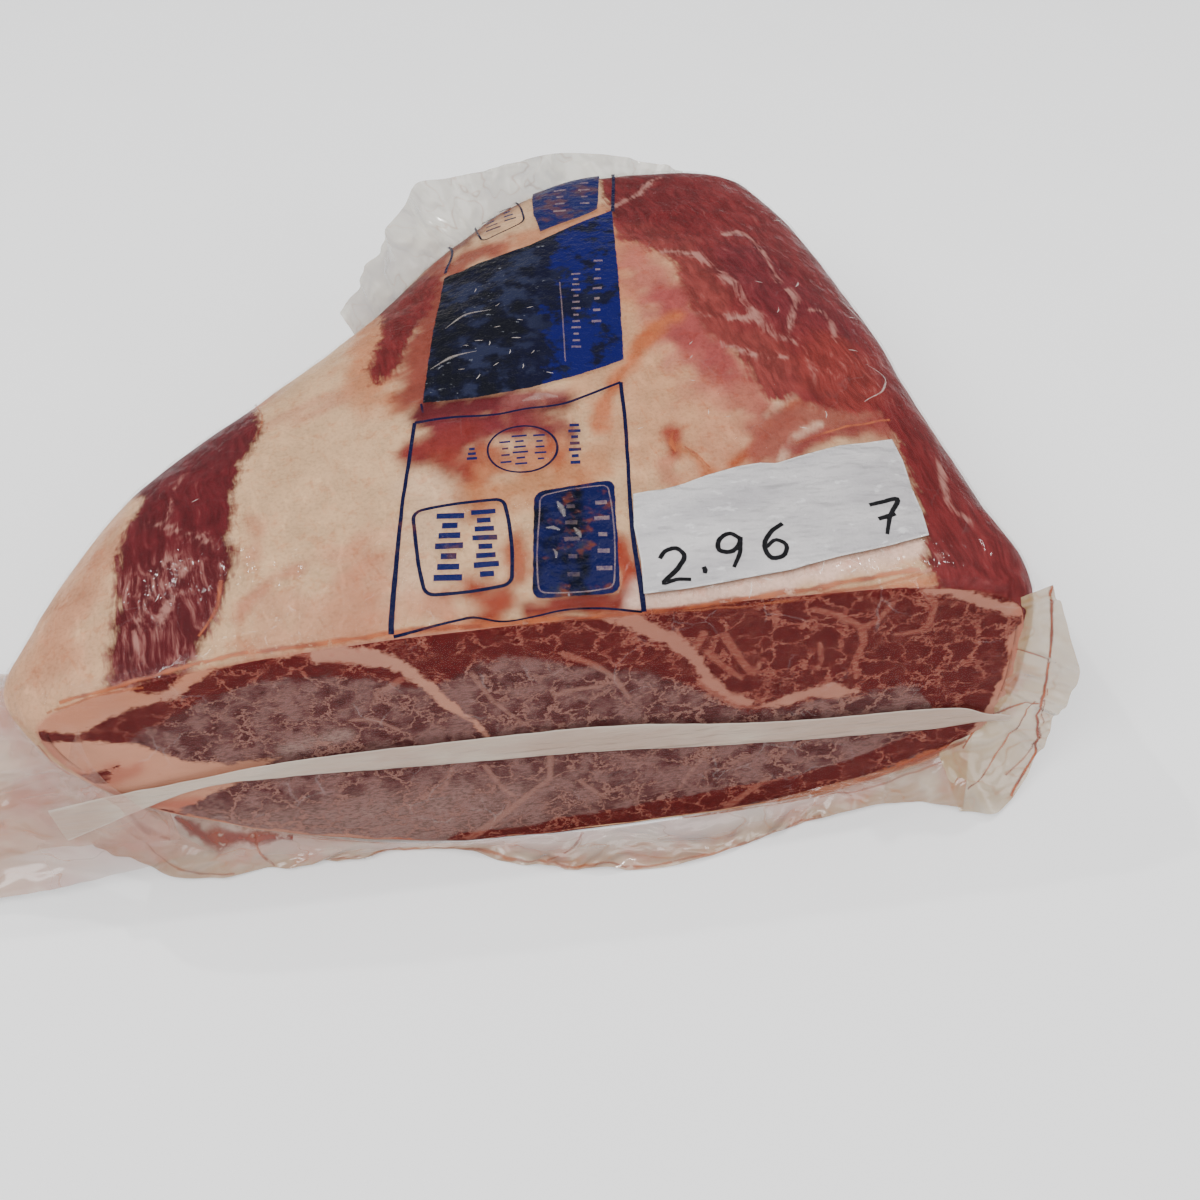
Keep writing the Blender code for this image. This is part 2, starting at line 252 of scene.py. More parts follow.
class Skin:
    """The block's surface: slices behind one another, and a grid over the cut face."""

    def __init__(self, half_count, depth_step, face_rows):
        turns = even_turns(half_count)
        self.count = len(turns)
        depths = list(np.arange(FIRST_EVEN_DEPTH, LAST_EVEN_DEPTH, depth_step)) + BACK_DEPTHS
        slices = [slice_outline(turns, depth, inset) for depth, inset in FRONT_RINGS]
        slices += [slice_outline(turns, depth) for depth in depths]
        points = [np.concatenate(slices)]
        self.faces, self.on_cut = [], []
        for ring in range(len(slices) - 1):
            here, after = ring * self.count, (ring + 1) * self.count
            for k in range(self.count):
                beside = (k + 1) % self.count
                self.faces.append([here + k, here + beside, after + beside, after + k])
                self.on_cut.append(ring < RINGS_ON_CUT)
        # The back is closed with a fan
        last = (len(slices) - 1) * self.count
        points.append(slices[-1].mean(axis=0)[None])
        hub = len(slices) * self.count
        for k in range(self.count):
            self.faces.append([last + k, last + (k + 1) % self.count, hub])
            self.on_cut.append(False)
        # The cut face joins each point above the waist to its mirror below
        columns = half_count + 1
        start = hub + 1
        rim = slices[0]
        grid = []
        for row in range(1, face_rows):
            t = row / face_rows
            upper = rim[1:half_count]
            lower = rim[:half_count:-1]
            grid.append(upper * (1 - t) + lower * t)
        points.append(np.concatenate(grid))
        inner = half_count - 1

        def at(row, column):
            if column == 0 or column == columns - 1 or row == 0:
                return column
            if row == face_rows:
                return self.count - column
            return start + (row - 1) * inner + column - 1

        for row in range(face_rows):
            for column in range(columns - 1):
                corners = [at(row, column), at(row + 1, column), at(row + 1, column + 1), at(row, column + 1)]
                corners = [c for k, c in enumerate(corners) if c not in corners[:k]]
                if len(corners) > 2:
                    self.faces.append(corners)
                    self.on_cut.append(True)
        self.points = np.concatenate(points)
        self.normals = self.point_normals()

    def point_normals(self):
        """Outward normals at the points."""
        mesh = bpy.data.meshes.new("normals")
        mesh.from_pydata([tuple(p) for p in self.points], [], self.faces)
        out = np.empty(len(self.points) * 3)
        mesh.vertex_normals.foreach_get("vector", out)
        bpy.data.meshes.remove(mesh)
        out = out.reshape(-1, 3)
        outward = self.points - self.points.mean(axis=0)
        if np.sum(out * outward) < 0:
            out = -out
            self.faces = [face[::-1] for face in self.faces]
        return out

    def moved(self, lift):
        """The points moved out along their normals, kept above the table."""
        points = self.points + self.normals * np.asarray(lift).reshape(-1, 1)
        points[:, 2] = np.maximum(points[:, 2], TABLE_GAP)
        return points


def relief(points):
    """Low lumps of the meat and fat under the tight film."""
    broad, fine = noise_at(points, 21.0, 3.1), noise_at(points, 8.0, 5.7)
    return BROAD_LUMPS * broad + FINE_LUMPS * fine


# Shader building

def srgb(red, green, blue):
    """A screen colour in 0..255 as linear light."""
    return tuple(c / 255 / 12.92 if c <= 10 else ((c / 255 + 0.055) / 1.055) ** 2.4
                 for c in (red, green, blue))


class Wire:
    """A number that a shader socket carries, ready for arithmetic."""

    def __init__(self, finish, socket):
        self.finish, self.socket = finish, socket

    def math(self, operation, *values):
        return self.finish.node("Math", {"operation": operation}, dict(enumerate(values)))

    def __add__(self, other):
        return self.math("ADD", self, other)

    def __sub__(self, other):
        return self.math("SUBTRACT", self, other)

    def __rsub__(self, other):
        return self.math("SUBTRACT", other, self)

    def __mul__(self, other):
        return self.math("MULTIPLY", self, other)

    def __abs__(self):
        return self.math("ABSOLUTE", self)

    def at_least(self, other):
        return self.math("MAXIMUM", self, other)

    def at_most(self, other):
        return self.math("MINIMUM", self, other)

    __radd__ = __add__


class Finish:
    """One material, and the means to add nodes to it."""

    def __init__(self, name):
        self.material = bpy.data.materials.new(name)
        self.material.use_nodes = True
        self.tree = self.material.node_tree
        self.tree.nodes.clear()

    def node(self, kind, settings=None, sockets=None, out=0):
        """Add one node and return one of its outputs."""
        made = self.tree.nodes.new("ShaderNode" + kind)
        for name, value in (settings or {}).items():
            setattr(made, name, value)
        for key, value in (sockets or {}).items():
            socket = made.inputs[key]
            if isinstance(value, Wire):
                self.tree.links.new(value.socket, socket)
            elif isinstance(value, tuple) and len(value) == 3 and socket.type == "RGBA":
                socket.default_value = (*value, 1.0)
            else:
                socket.default_value = value
        return Wire(self, made.outputs[out])

    def where(self):
        """Place on the object in millimetres."""
        spot = self.node("TexCoord", out=3)
        return self.node("VectorMath", {"operation": "SCALE"}, {0: spot, 3: 1000.0})

    def stretched(self, place, x=1.0, y=1.0, z=1.0):
        """A place scaled along each axis: less than 1 draws a pattern out."""
        return self.node("VectorMath", {"operation": "MULTIPLY"}, {0: place, 1: (x, y, z)})

    def moved(self, place, offset, amount):
        """A place shifted by a noise colour, for uneven edges."""
        centred = self.node("VectorMath", {"operation": "SUBTRACT"}, {0: offset, 1: (0.5, 0.5, 0.5)})
        scaled = self.node("VectorMath", {"operation": "SCALE"}, {0: centred, 3: amount})
        return self.node("VectorMath", {"operation": "ADD"}, {0: place, 1: scaled})

    def noise(self, place, size, detail=2.0, rough=0.5, colour=False):
        """Smooth noise with features of about the given size, as a number or a colour."""
        return self.node("TexNoise", {}, {"Vector": place, "Scale": 1.0 / size, "Detail": detail,
                                          "Roughness": rough}, 1 if colour else 0)

    def cells(self, place, size):
        """Distance to the edge of uneven cells of about the given size."""
        return self.node("TexVoronoi", {"feature": "DISTANCE_TO_EDGE"},
                         {"Vector": place, "Scale": 1.0 / size})

    def step(self, value, low, high):
        """Smooth step of a value from 0 at low to 1 at high."""
        return self.node("MapRange", {"interpolation_type": "SMOOTHSTEP"},
                         {"Value": value, "From Min": low, "From Max": high})

    def mix(self, factor, a, b, blend="MIX"):
        return self.node("Mix", {"data_type": "RGBA", "blend_type": blend}, {0: factor, 6: a, 7: b}, 2)

    def scaled(self, colour, factor):
        return self.node("VectorMath", {"operation": "SCALE"}, {0: colour, 3: factor})

    def kept(self, name, colour=False):
        """A number or colour stored on the mesh."""
        return self.node("Attribute", {"attribute_name": name}, out=0 if colour else 2)

    def bump(self, height, distance, strength=1.0):
        return self.node("Bump", {}, {"Height": height, "Distance": distance, "Strength": strength})

    def done(self, **sockets):
        """Close the material with a Principled shader."""
        named = {name.replace("_", " "): value for name, value in sockets.items()}
        surface = self.node("BsdfPrincipled", {}, named)
        output = self.tree.nodes.new("ShaderNodeOutputMaterial")
        self.tree.links.new(surface.socket, output.inputs["Surface"])
        return self.material


# Materials of the beef

FAT = srgb(184, 148, 114)
CUT_FAT = srgb(164, 114, 96)
FLESH = srgb(96, 34, 35)
CUT_FLESH = srgb(92, 31, 30)


def marbled_cut():
    """The cut face: dark red muscle with a greyish bloom, seams of fat and fine marbling."""
    f = Finish("marbled_cut")
    place = f.where()
    muscle, bloom, marbling, thin = f.kept("muscle"), f.kept("bloom"), f.kept("marbling"), f.kept("thin")
    wobble = f.noise(place, 4.5, 5.0, 0.68, colour=True)
    bent = f.moved(place, wobble, 8.0)
    patchy = f.noise(place, 6.5, 3.0)
    ragged = f.noise(f.stretched(place, 0.7, 1.0, 1.3), 1.4, 3.0, 0.65, colour=True)
    bent = f.moved(bent, ragged, 4.2)
    big = f.cells(f.stretched(bent, 0.68, 1.0, 1.08), 6.2)
    small = f.cells(f.stretched(bent, 0.55, 1.0, 1.3), 2.7)
    speckle = f.noise(f.stretched(place, 0.55, 1.0, 1.6), 0.9, 2.0, 0.7)
    edge = f.step(muscle + (ragged - 0.5) * 4.4 + (patchy - 0.5) * 4.0, -0.6, 0.6)
    channels = 1 - f.step(big + (patchy - 0.5) * 0.2, 0.0, 0.03 + marbling * 0.05)
    hairs = (1 - f.step(small, 0.0, 0.03 + marbling * 0.04)) * f.step(patchy, 0.42, 0.64)
    line = f.step(thin + (ragged - 0.5) * 1.6, -0.5, 0.5)
    veins = channels.at_least(hairs * 0.42) * f.step(marbling, 0.0, 0.3)
    veins = veins.at_least(line * 0.9)
    fibre = f.noise(f.stretched(bent, 0.7, 1.0, 1.8), 1.1, 3.0, 0.7)
    red = f.scaled(f.kept("flesh", colour=True), 0.5 + f.step(fibre, 0.34, 0.68) * 0.52)
    grey = f.mix(f.step(patchy, 0.4, 0.64), srgb(74, 40, 39), srgb(108, 77, 73))
    # The film's milky haze, with a painted glare line, turns the grey bloom lighter
    grey = f.mix(f.kept("haze_and_glare") * (0.6 + f.step(big, 0.03, 0.16) * 0.4), grey, srgb(124, 98, 91))
    grey = f.scaled(grey, 1.18 - f.step(speckle, 0.42, 0.66) * 0.5)
    bloom_edge = f.step(bloom + (speckle - 0.5) * 1.1 + (patchy - 0.5) * 1.0, 0.26, 0.72)
    meat = f.mix(bloom_edge * 0.93, red, grey)
    vein_tone = f.mix(bloom_edge, f.mix(f.step(speckle, 0.35, 0.65), srgb(142, 88, 74), srgb(122, 60, 50)),
                      srgb(141, 101, 90))
    meat = f.mix(veins * (0.92 - bloom_edge * 0.16), meat, vein_tone)
    streaks = f.noise(f.stretched(place, 0.25, 1.0, 1.0), 2.6, 3.0, 0.6)
    fat = f.scaled(f.kept("fat", colour=True), 0.84 + streaks * 0.3)
    fat = f.mix(f.step(ragged * 0.5 + streaks * 0.5, 0.54, 0.66) * 0.3, fat, srgb(142, 74, 60))
    colour = f.mix(edge, fat, meat)
    return f.done(Base_Color=colour, Roughness=0.5 + speckle * 0.12, Specular_IOR_Level=0.04,
                  Normal=f.bump(speckle, 0.0006, 0.3))


def fat_cap():
    """The top, sides and back: creamy fat with stains, and streaky red muscle where it shows."""
    f = Finish("fat_cap")
    place = f.where()
    muscle, pale = f.kept("muscle"), f.kept("pale")
    slanted = f.node("VectorRotate", {"rotation_type": "Z_AXIS"},
                     {"Vector": f.moved(place, f.noise(place, 14.0, 1.0, colour=True), 6.0), "Angle": -0.16})
    strands = f.noise(f.stretched(slanted, 1.0, 0.1, 1.0), 1.3, 3.0, 0.65)
    broad = f.noise(f.stretched(slanted, 1.0, 0.3, 1.0), 3.4, 2.0, 0.6)
    lumps = f.noise(place, 4.2, 3.0, 0.6)
    mottle = f.noise(place, 9.0, 3.0, 0.6)
    fine = f.noise(place, 1.0, 2.0, 0.6)
    edge = f.step(muscle + (strands - 0.5) * 6.0 + (lumps - 0.5) * 5.0, -1.9, 1.6)
    grain = strands * 0.55 + broad * 0.45
    red = f.scaled(f.kept("flesh", colour=True), 0.66 + f.step(grain, 0.36, 0.64) * 0.58)
    wisps = f.step(strands * 0.52 + broad * 0.3 + pale * 0.34, 0.55, 0.76)
    red = f.mix(wisps * 0.68, red, srgb(158, 114, 104))
    light = 0.84 + f.step(mottle, 0.28, 0.72) * 0.2 + f.step(broad, 0.58, 0.72) * 0.14
    ground = f.scaled(f.kept("fat", colour=True), light + 0.04 - f.step(fine, 0.42, 0.72) * 0.17)
    ground = f.mix(f.step(lumps, 0.54, 0.7) * 0.42, ground, (0.86, 0.6, 0.52), "MULTIPLY")
    ground = f.mix(f.step(strands, 0.56, 0.7) * 0.36, ground, (0.86, 0.66, 0.56), "MULTIPLY")
    membrane = 1 - f.step(abs(mottle - 0.5), 0.0, 0.03)
    membrane = membrane * f.step(lumps, 0.44, 0.6)
    ground = f.mix(membrane * 0.3, ground, (0.8, 0.6, 0.5), "MULTIPLY")
    colour = f.mix(edge, ground, red)
    height = mottle * 0.5 + fine * 0.2
    return f.done(Base_Color=colour, Roughness=0.5 + fine * 0.1, Specular_IOR_Level=0.07,
                  Normal=f.bump(height, 0.0016, 0.5))


# Beef

# Red meat on the cut face, as (x, z)
CUT_MEAT = [
    (-105, 55), (-101, 58), (-93.5, 55.5), (-87, 58.5), (-83, 60), (-73, 62.5), (-66.5, 64),
    (-61, 67.5), (-54, 71.5), (-46.5, 73), (-38.5, 72.5), (-35.5, 73), (-33, 75.5), (-22.5, 76.5),
    (-6.5, 77.5), (15, 77), (34.5, 78), (53, 78), (78, 76), (104.5, 76), (124, 78), (134, 78),
    (155, 76), (156, 68.5), (154, 64), (152, 57.5), (149.5, 53.5), (150, 45), (148, 31.5),
    (145.5, 23.5), (142, 18), (131.5, 14.5), (117.5, 8.5), (103, 5), (90.5, 2), (73, 0), (60, -2),
    (35, -4), (16, -4), (-2, -1), (-19.5, 5), (-40.5, 10), (-53, 13.5), (-60, 16), (-68.5, 20.5),
    (-72, 22.5), (-74, 26.5), (-71.5, 27), (-62, 31.5), (-56, 33.5), (-45.5, 40), (-50, 39.5),
    (-60.5, 40), (-68, 41.5), (-75, 46), (-81, 50.5), (-89.5, 52), (-97, 53.5)]
# Small dark islands of muscle in the fat near the left tip
CUT_ISLANDS = [
    [(-78, 67.5), (-69.5, 71), (-60.5, 73.5), (-64.5, 69.5), (-69, 66), (-76, 66)],
    [(-99.5, 42), (-92, 42.5), (-86, 43.5), (-90, 38), (-96, 36.5)],
    [(-88, 26.5), (-84, 28.5), (-75, 25), (-72.5, 20), (-82.5, 21.5)]]
# Seams thinner than this are drawn as veins in the meat, and not as fat
THIN_SEAM = 2.45
# Seams of fat across the cut face: (width at its start, width at its end, line)
CUT_SEAMS = [
    (2.0, 5.0, [(-59.5, 75), (-47, 75.5), (-38, 75), (-30.5, 72), (-23, 70)]),
    (5.0, 3.8, [(-30.5, 71.5), (-21, 70), (-13, 67), (-8, 61.5)]),
    (3.4, 1.1, [(-8, 61.5), (-1.5, 52.5), (4.5, 45), (8, 39.5)]),
    (1.9, 1.1, [(-12, 61), (-18.5, 57), (-19.5, 54.5)]),
    (1.2, 1.0, [(-26.5, 50), (-20, 49), (-14, 44)]),
    (1.3, 0.9, [(6, 61), (10.5, 51), (18, 42)]),
    (1.8, 1.2, [(30, 63.5), (37.5, 59), (42.5, 54), (46.5, 46.5)]),
    (1.4, 1.1, [(26.5, 50.5), (33, 51.5), (40, 52)]),
    (5.4, 4.0, [(38, 77), (46, 73), (56.5, 65), (63, 59)]),
    (3.6, 1.8, [(63, 59), (67, 50), (72.5, 44), (79, 40)]),
    (2.4, 2.0, [(66, 65), (63, 59)]),
    (2.0, 1.2, [(65, 49), (69.5, 45), (75.5, 39.5), (81.5, 38)]),
    (2.4, 1.3, [(71.5, 63.5), (77, 53.5), (79.5, 50), (82, 54.5)]),
    (2.0, 1.3, [(67, 59), (71, 54), (76.5, 49)]),
    (1.6, 1.1, [(97, 57.5), (98, 51.5), (95.5, 48)]),
    (1.8, 1.8, [(94.5, 69), (102, 66), (108, 61.5), (112, 63), (115.5, 68)]),
    (2.4, 1.4, [(108, 61.5), (109, 56.5), (107, 50), (108, 44.5)]),
    (2.2, 1.2, [(123.5, 72), (127, 66.5), (126, 60), (123.5, 58), (117, 58)]),
    (2.6, 4.0, [(124.5, 72), (130, 71), (138.5, 66.5), (146.5, 62.5), (153, 60.5)]),
    (1.8, 1.3, [(24.5, 30), (24, 21), (17.5, 16)]),
    (1.8, 2.8, [(17.5, 16), (8, 8), (0, 2)]),
    (1.3, 1.0, [(6.5, 29), (11, 19.5), (14, 16)]),
    (1.4, 1.0, [(-2, 29), (-5, 22), (-11.5, 20)]),
    (1.2, 1.0, [(32, 18.5), (39, 11.5)]),
    (1.4, 1.0, [(69.5, 25), (64, 18.5), (59.5, 11)]),
    (1.3, 1.0, [(79.5, 20.5), (72.5, 18)]),
    (2.4, 1.4, [(74, 2), (80, 7), (86, 12)])]
# A wedge of fat low in the right half of the cut face
CUT_WEDGE = [(81.5, 38), (89.5, 41.5), (101.5, 43.5), (109.5, 40), (103, 38), (96, 39.5), (86, 37.5)]
# The greyish bloom lies below this line on the cut face, as (x, z)
BLOOM_TOP = [
    (-85, 50), (-81, 52), (-67.5, 59.5), (-55.5, 64), (-47.5, 66), (-33, 66.5), (-16.5, 62),
    (-8.5, 58), (0, 60), (6.5, 64.5), (14.5, 65), (27, 61.5), (40, 58), (53.5, 54.5), (63.5, 48),
    (79, 37), (96.5, 38.5), (114.5, 39.5), (125.5, 40), (130, 32), (136, 20)]
# Red meat without bloom follows this line near the cut face's lower edge
BOTTOM_RED = [
    (-2, 0.5), (16.5, 0), (23, 1), (35, 2), (49.5, 3), (60.5, 4), (71.5, 5), (80.5, 5.5),
    (90, 7), (102.5, 9), (117, 13.5), (127.5, 18), (142, 24)]
# Soft dabs of colour on the cut face: (screen colour, width, softness, strength, line)
CUT_DABS = [
    ((180, 126, 102), 26, 14, 0.9, [(-100, 52), (-84, 44), (-66, 38)]),
    ((172, 112, 86), 4, 4, 0.8, [(-98, 60), (-84, 64), (-70, 68), (-56, 73), (-36, 76)]),
    ((150, 88, 74), 5, 4, 0.6, [(-104, 53), (-101, 44), (-96, 38)]),
    ((168, 104, 80), 8, 6, 0.8, [(-92, 30), (-84, 22), (-66, 16)]),
    ((152, 98, 82), 10, 8, 0.8, [(44, 74), (56, 66), (64, 56), (78, 42)]),
    ((150, 98, 84), 30, 8, 0.7, [(70, 60), (100, 56), (130, 60)]),
    ((152, 84, 68), 2, 4, 0.7, [(-101, 41), (-92, 39.5), (-82, 42)]),
    ((150, 76, 62), 2, 3, 0.7, [(-92, 34), (-84, 30), (-72, 27)]),
    ((164, 100, 80), 3, 3, 0.8, [(152, 62), (152.5, 50), (150.5, 36)]),
    ((160, 84, 58), 3, 2, 0.9, [(-20, 3), (20, -3), (60, 0), (90, 1), (120, 9), (140, 17)])]

# Red patches on the top, as (x, y)
LEFT_PATCH = [
    (-49.5, 99), (-46.5, 84), (-47.5, 76.5), (-51, 65.5), (-52, 55.5), (-52, 36), (-50.5, 28.5),
    (-52.5, 21.5), (-54.5, 14), (-58.5, 7.5), (-61, 1), (-71, -2), (-84, -4), (-82.5, 8.5),
    (-81, 19.5), (-83, 39.5), (-82, 47), (-79.5, 53.5), (-78, 62), (-90, 76), (-70, 112)]
STREAK_PATCH = [
    (1.5, 162), (-9, 158), (-13.5, 146), (-11.5, 134), (-11, 118), (-15.5, 101), (-13, 92),
    (-8, 96), (-2.5, 112), (2.5, 126), (6.5, 140), (8, 152)]
RIGHT_MUSCLE = [
    (66, 240), (67, 171), (66.5, 152), (72.5, 148), (78, 142), (82, 134), (81, 118),
    (82.5, 107), (84.5, 98), (90, 88), (93, 78), (96.5, 66), (104, 66.5), (112, 62),
    (120.5, 60), (127.5, 61), (129.5, 50), (129.5, 30), (128, 15), (126, 8), (128, -10),
    (180, -10), (180, 240)]
# Pale seams in the red meat of the top: (width at its start, width at its end, line)
TOP_SEAMS = [
    (2.0, 0.8, [(68, 176), (78.5, 184.5), (84.5, 195.5), (89.5, 198)]),
    (2.6, 2.6, [(80, 142), (84, 141), (89.5, 138.5), (93.5, 130), (97, 120), (99, 109),
                (101.5, 100), (104.5, 93.5), (109.5, 90), (112.5, 84.5)]),
    (1.4, 1.4, [(82, 105.5), (91, 103), (99, 101)]), (1.8, 1.2, [(88, 90), (97, 84.5), (106, 83)]),
    (1.6, 0.8, [(101.5, 152), (107, 154), (110, 148.5), (111.5, 139.5), (112, 128), (112, 120)]),
    (1.0, 1.0, [(114, 116), (115.5, 110.5), (111, 99.5), (108.5, 93.5)]),
    (0.9, 1.0, [(118, 105.5), (122, 106.5), (124, 100.5), (123, 91.5)]),
    (1.6, 1.6, [(112.5, 84.5), (112.5, 77), (110, 68.5)]),
    (1.6, 1.6, [(142, 44), (140, 38.5), (138, 26.5), (142, 21)]),
    (1.0, 1.0, [(143.5, 66), (145.5, 54)]), (0.8, 0.8, [(118, 4), (124.5, 6), (131.5, 9)]),
    (0.6, 0.6, [(-67, 66.5), (-69, 59.5), (-69.5, 48)]),
    (1.6, 1.2, [(-76, 48.5), (-70, 45.5), (-63, 40), (-56, 34)]),
    (2.6, 1.2, [(-68.5, 32.5), (-64, 28), (-68.5, 16.5), (-73.5, 4.5)]),
    (1.6, 0.8, [(-69.5, 32.5), (-74, 18), (-77.5, 5)])]
# Stains and tints on the top: (screen colour, width, softness, strength, line)
TOP_DABS = [
    ((186, 142, 111), 60, 30, 0.9, [(-125, -10), (-118, 60)]),
    ((168, 116, 88), 7, 7, 0.8, [(-84, 46), (-94, 30), (-99, 12)]),
    ((174, 124, 96), 12, 14, 0.8, [(-40, 4), (-20, 8), (-16, 22)]),
    ((172, 116, 88), 10, 8, 0.8, [(-17, 21), (-12, 14), (-18, 6)]),
    ((162, 106, 82), 1.6, 2.5, 0.8, [(-50, 10.5), (-48, 16), (-41.5, 21), (-34.5, 23)]),
    ((164, 110, 84), 2, 3, 0.7, [(-47, 42), (-45, 36), (-46, 30)]),
    ((168, 120, 94), 2, 3.5, 0.8, [(-35, 82.5), (-24, 89), (-15, 97)]),
    ((172, 126, 98), 1.6, 3, 0.8, [(-50.5, 81), (-37.5, 87.5), (-26.5, 93)]),
    ((162, 104, 74), 8, 6, 0.9, [(-49, 102), (-58, 98)]),
    ((166, 108, 76), 6, 8, 0.9, [(-16, 150), (-14, 120), (-17, 100), (-10, 84)]),
    ((112, 50, 42), 8, 6, 0.97, [(8, 176), (5.5, 131), (1, 103.5), (-2, 84)]),
    ((92, 42, 38), 9, 6, 0.95, [(14, 176), (23.5, 187), (33, 197)]),
    ((124, 62, 50), 8, 6, 0.95, [(13, 152.5), (20, 158), (28, 160)]),
    ((164, 104, 74), 7, 5, 0.8, [(36, 158), (50, 166), (64, 173)]),
    ((80, 28, 32), 8, 3.5, 1.0, [(0.5, 74.5), (16.5, 76.5), (38.5, 76)]),
    ((100, 38, 42), 8, 5, 1.0, [(6, 68), (20.5, 67.5), (31, 66.5), (37, 62.5)]),
    ((108, 40, 38), 8, 5, 1.0, [(-2, 60), (5, 61.5), (10.5, 64)]),
    ((114, 44, 36), 6, 5, 1.0, [(4.5, 56.5), (8, 52.5), (11.5, 47), (10.5, 40)]),
    ((120, 48, 36), 5, 5, 0.95, [(17, 56), (12, 49)]),
    ((160, 100, 92), 5, 3, 0.35, [(27, 77.5), (38, 79)]),
    ((150, 88, 62), 8, 6, 0.85, [(20, 53), (32, 53)]),
    ((132, 56, 34), 4, 4, 0.95, [(35, 56), (36.5, 45), (39.5, 42)]),
    ((160, 104, 70), 8, 7, 0.85, [(12, 42), (25.5, 41.5), (32, 44), (46, 48)]),
    ((188, 154, 124), 7, 7, 0.8, [(-3, 48), (1, 42), (-4, 26), (-8, 14)]),
    ((134, 62, 40), 2.5, 3.5, 0.9, [(21, 26), (20.5, 14)]),
    ((130, 50, 32), 4, 4, 1.0, [(47, 20), (48, 11.5), (46, 3)]),
    ((104, 38, 30), 5, 3.5, 1.0, [(23, 3), (33, 4), (46, 3)]),
    ((130, 54, 36), 5, 4.5, 1.0, [(8, 11), (14, 5.5), (10, 1)]),
    ((164, 100, 76), 4, 5, 0.7, [(-8, 8), (2, 5)]),
    ((172, 124, 92), 34, 24, 0.85, [(70, 140), (66, 100), (72, 60)]),
    ((166, 108, 78), 6, 8, 0.85, [(70, 165), (66, 142), (64, 118)]),
    ((152, 82, 74), 9, 9, 0.8, [(70, 138), (73.5, 121.5), (75, 110.5), (78, 96), (82, 84), (86, 72)]),
    ((132, 60, 58), 8, 6, 0.95, [(76, 116), (79, 102), (83, 90), (87, 78), (90, 67), (94, 61)]),
    ((168, 110, 86), 14, 12, 0.5, [(84, 64), (86, 54), (80, 44)]),
    ((156, 84, 52), 2.0, 3.4, 0.95, [(77, 106), (70.5, 103), (64, 95), (58, 85), (53.5, 79)]),
    ((158, 88, 58), 1.6, 3.8, 0.85, [(53.5, 79), (50, 70), (47, 63)]),
    ((130, 54, 42), 2.6, 2.6, 0.97, [(67.5, 57), (66.5, 49)]),
    ((160, 104, 80), 3, 3, 0.8, [(64.5, 47), (63, 40)]),
    ((158, 92, 60), 1.6, 1.8, 0.9, [(68, 52), (72.5, 46.5), (75, 41.5), (73, 37)]),
    ((144, 70, 42), 2.2, 2.4, 1.0, [(111, 68), (103, 63.5), (97.5, 58), (92, 52.5), (82, 43)]),
    ((186, 150, 122), 1.5, 1.8, 0.9, [(111, 71), (102.5, 67), (95, 60)]),
    ((126, 66, 56), 13, 8, 0.95, [(94, 50), (104, 56), (114, 58), (124, 58)]),
    ((178, 142, 120), 1.2, 1.4, 0.9, [(109, 56), (101.5, 51), (95, 43)]),
    ((118, 52, 48), 2.4, 3.0, 0.9, [(100, 47), (110.5, 51.5), (119, 54.5), (128.5, 57)]),
    ((204, 168, 150), 8, 4, 1.0, [(52, 3), (72.5, 5), (96, 8), (122, 12)]),
    ((168, 96, 64), 1.5, 2.0, 0.8, [(-14, 0.8), (10, 0.6), (50, -1.6), (84, -2), (118, -0.4),
                                    (127, 1.6)])]
# Tints of the red meat on the top
TOP_FLESH = [
    ((80, 24, 28), 50, 10, 1.0, [(-66, 110), (-66, 0)]),
    ((92, 30, 31), 30, 10, 1.0, [(0, 180), (-6, 90)]),
    ((84, 26, 28), 24, 14, 0.8, [(84, 230), (84, 170)]),
    ((110, 48, 44), 14, 10, 0.9, [(66, 150), (80, 140), (84, 120), (86, 100), (98, 78)]),
    ((88, 32, 36), 16, 8, 0.9, [(106, 134), (112, 108), (122, 98)]),
    ((110, 42, 38), 18, 8, 0.9, [(120, 84), (122, 66)]),
    ((90, 28, 29), 10, 6, 0.9, [(133, 60), (132, 20)])]


def dab(colours, places, dabs, wobble, shown=1.0):
    """Lay soft dabs of colour over a surface, where it is shown."""
    for tone, width, softness, strength, line in dabs:
        away, _ = line_distance(places, line)
        cover = strength * soft(-away + wobble * softness * 0.7, -width / 2 - softness,
                                -width / 2 + softness * 0.3) * shown
        colours = colours * (1 - cover[:, None]) + np.array(srgb(*tone)) * cover[:, None]
    return colours


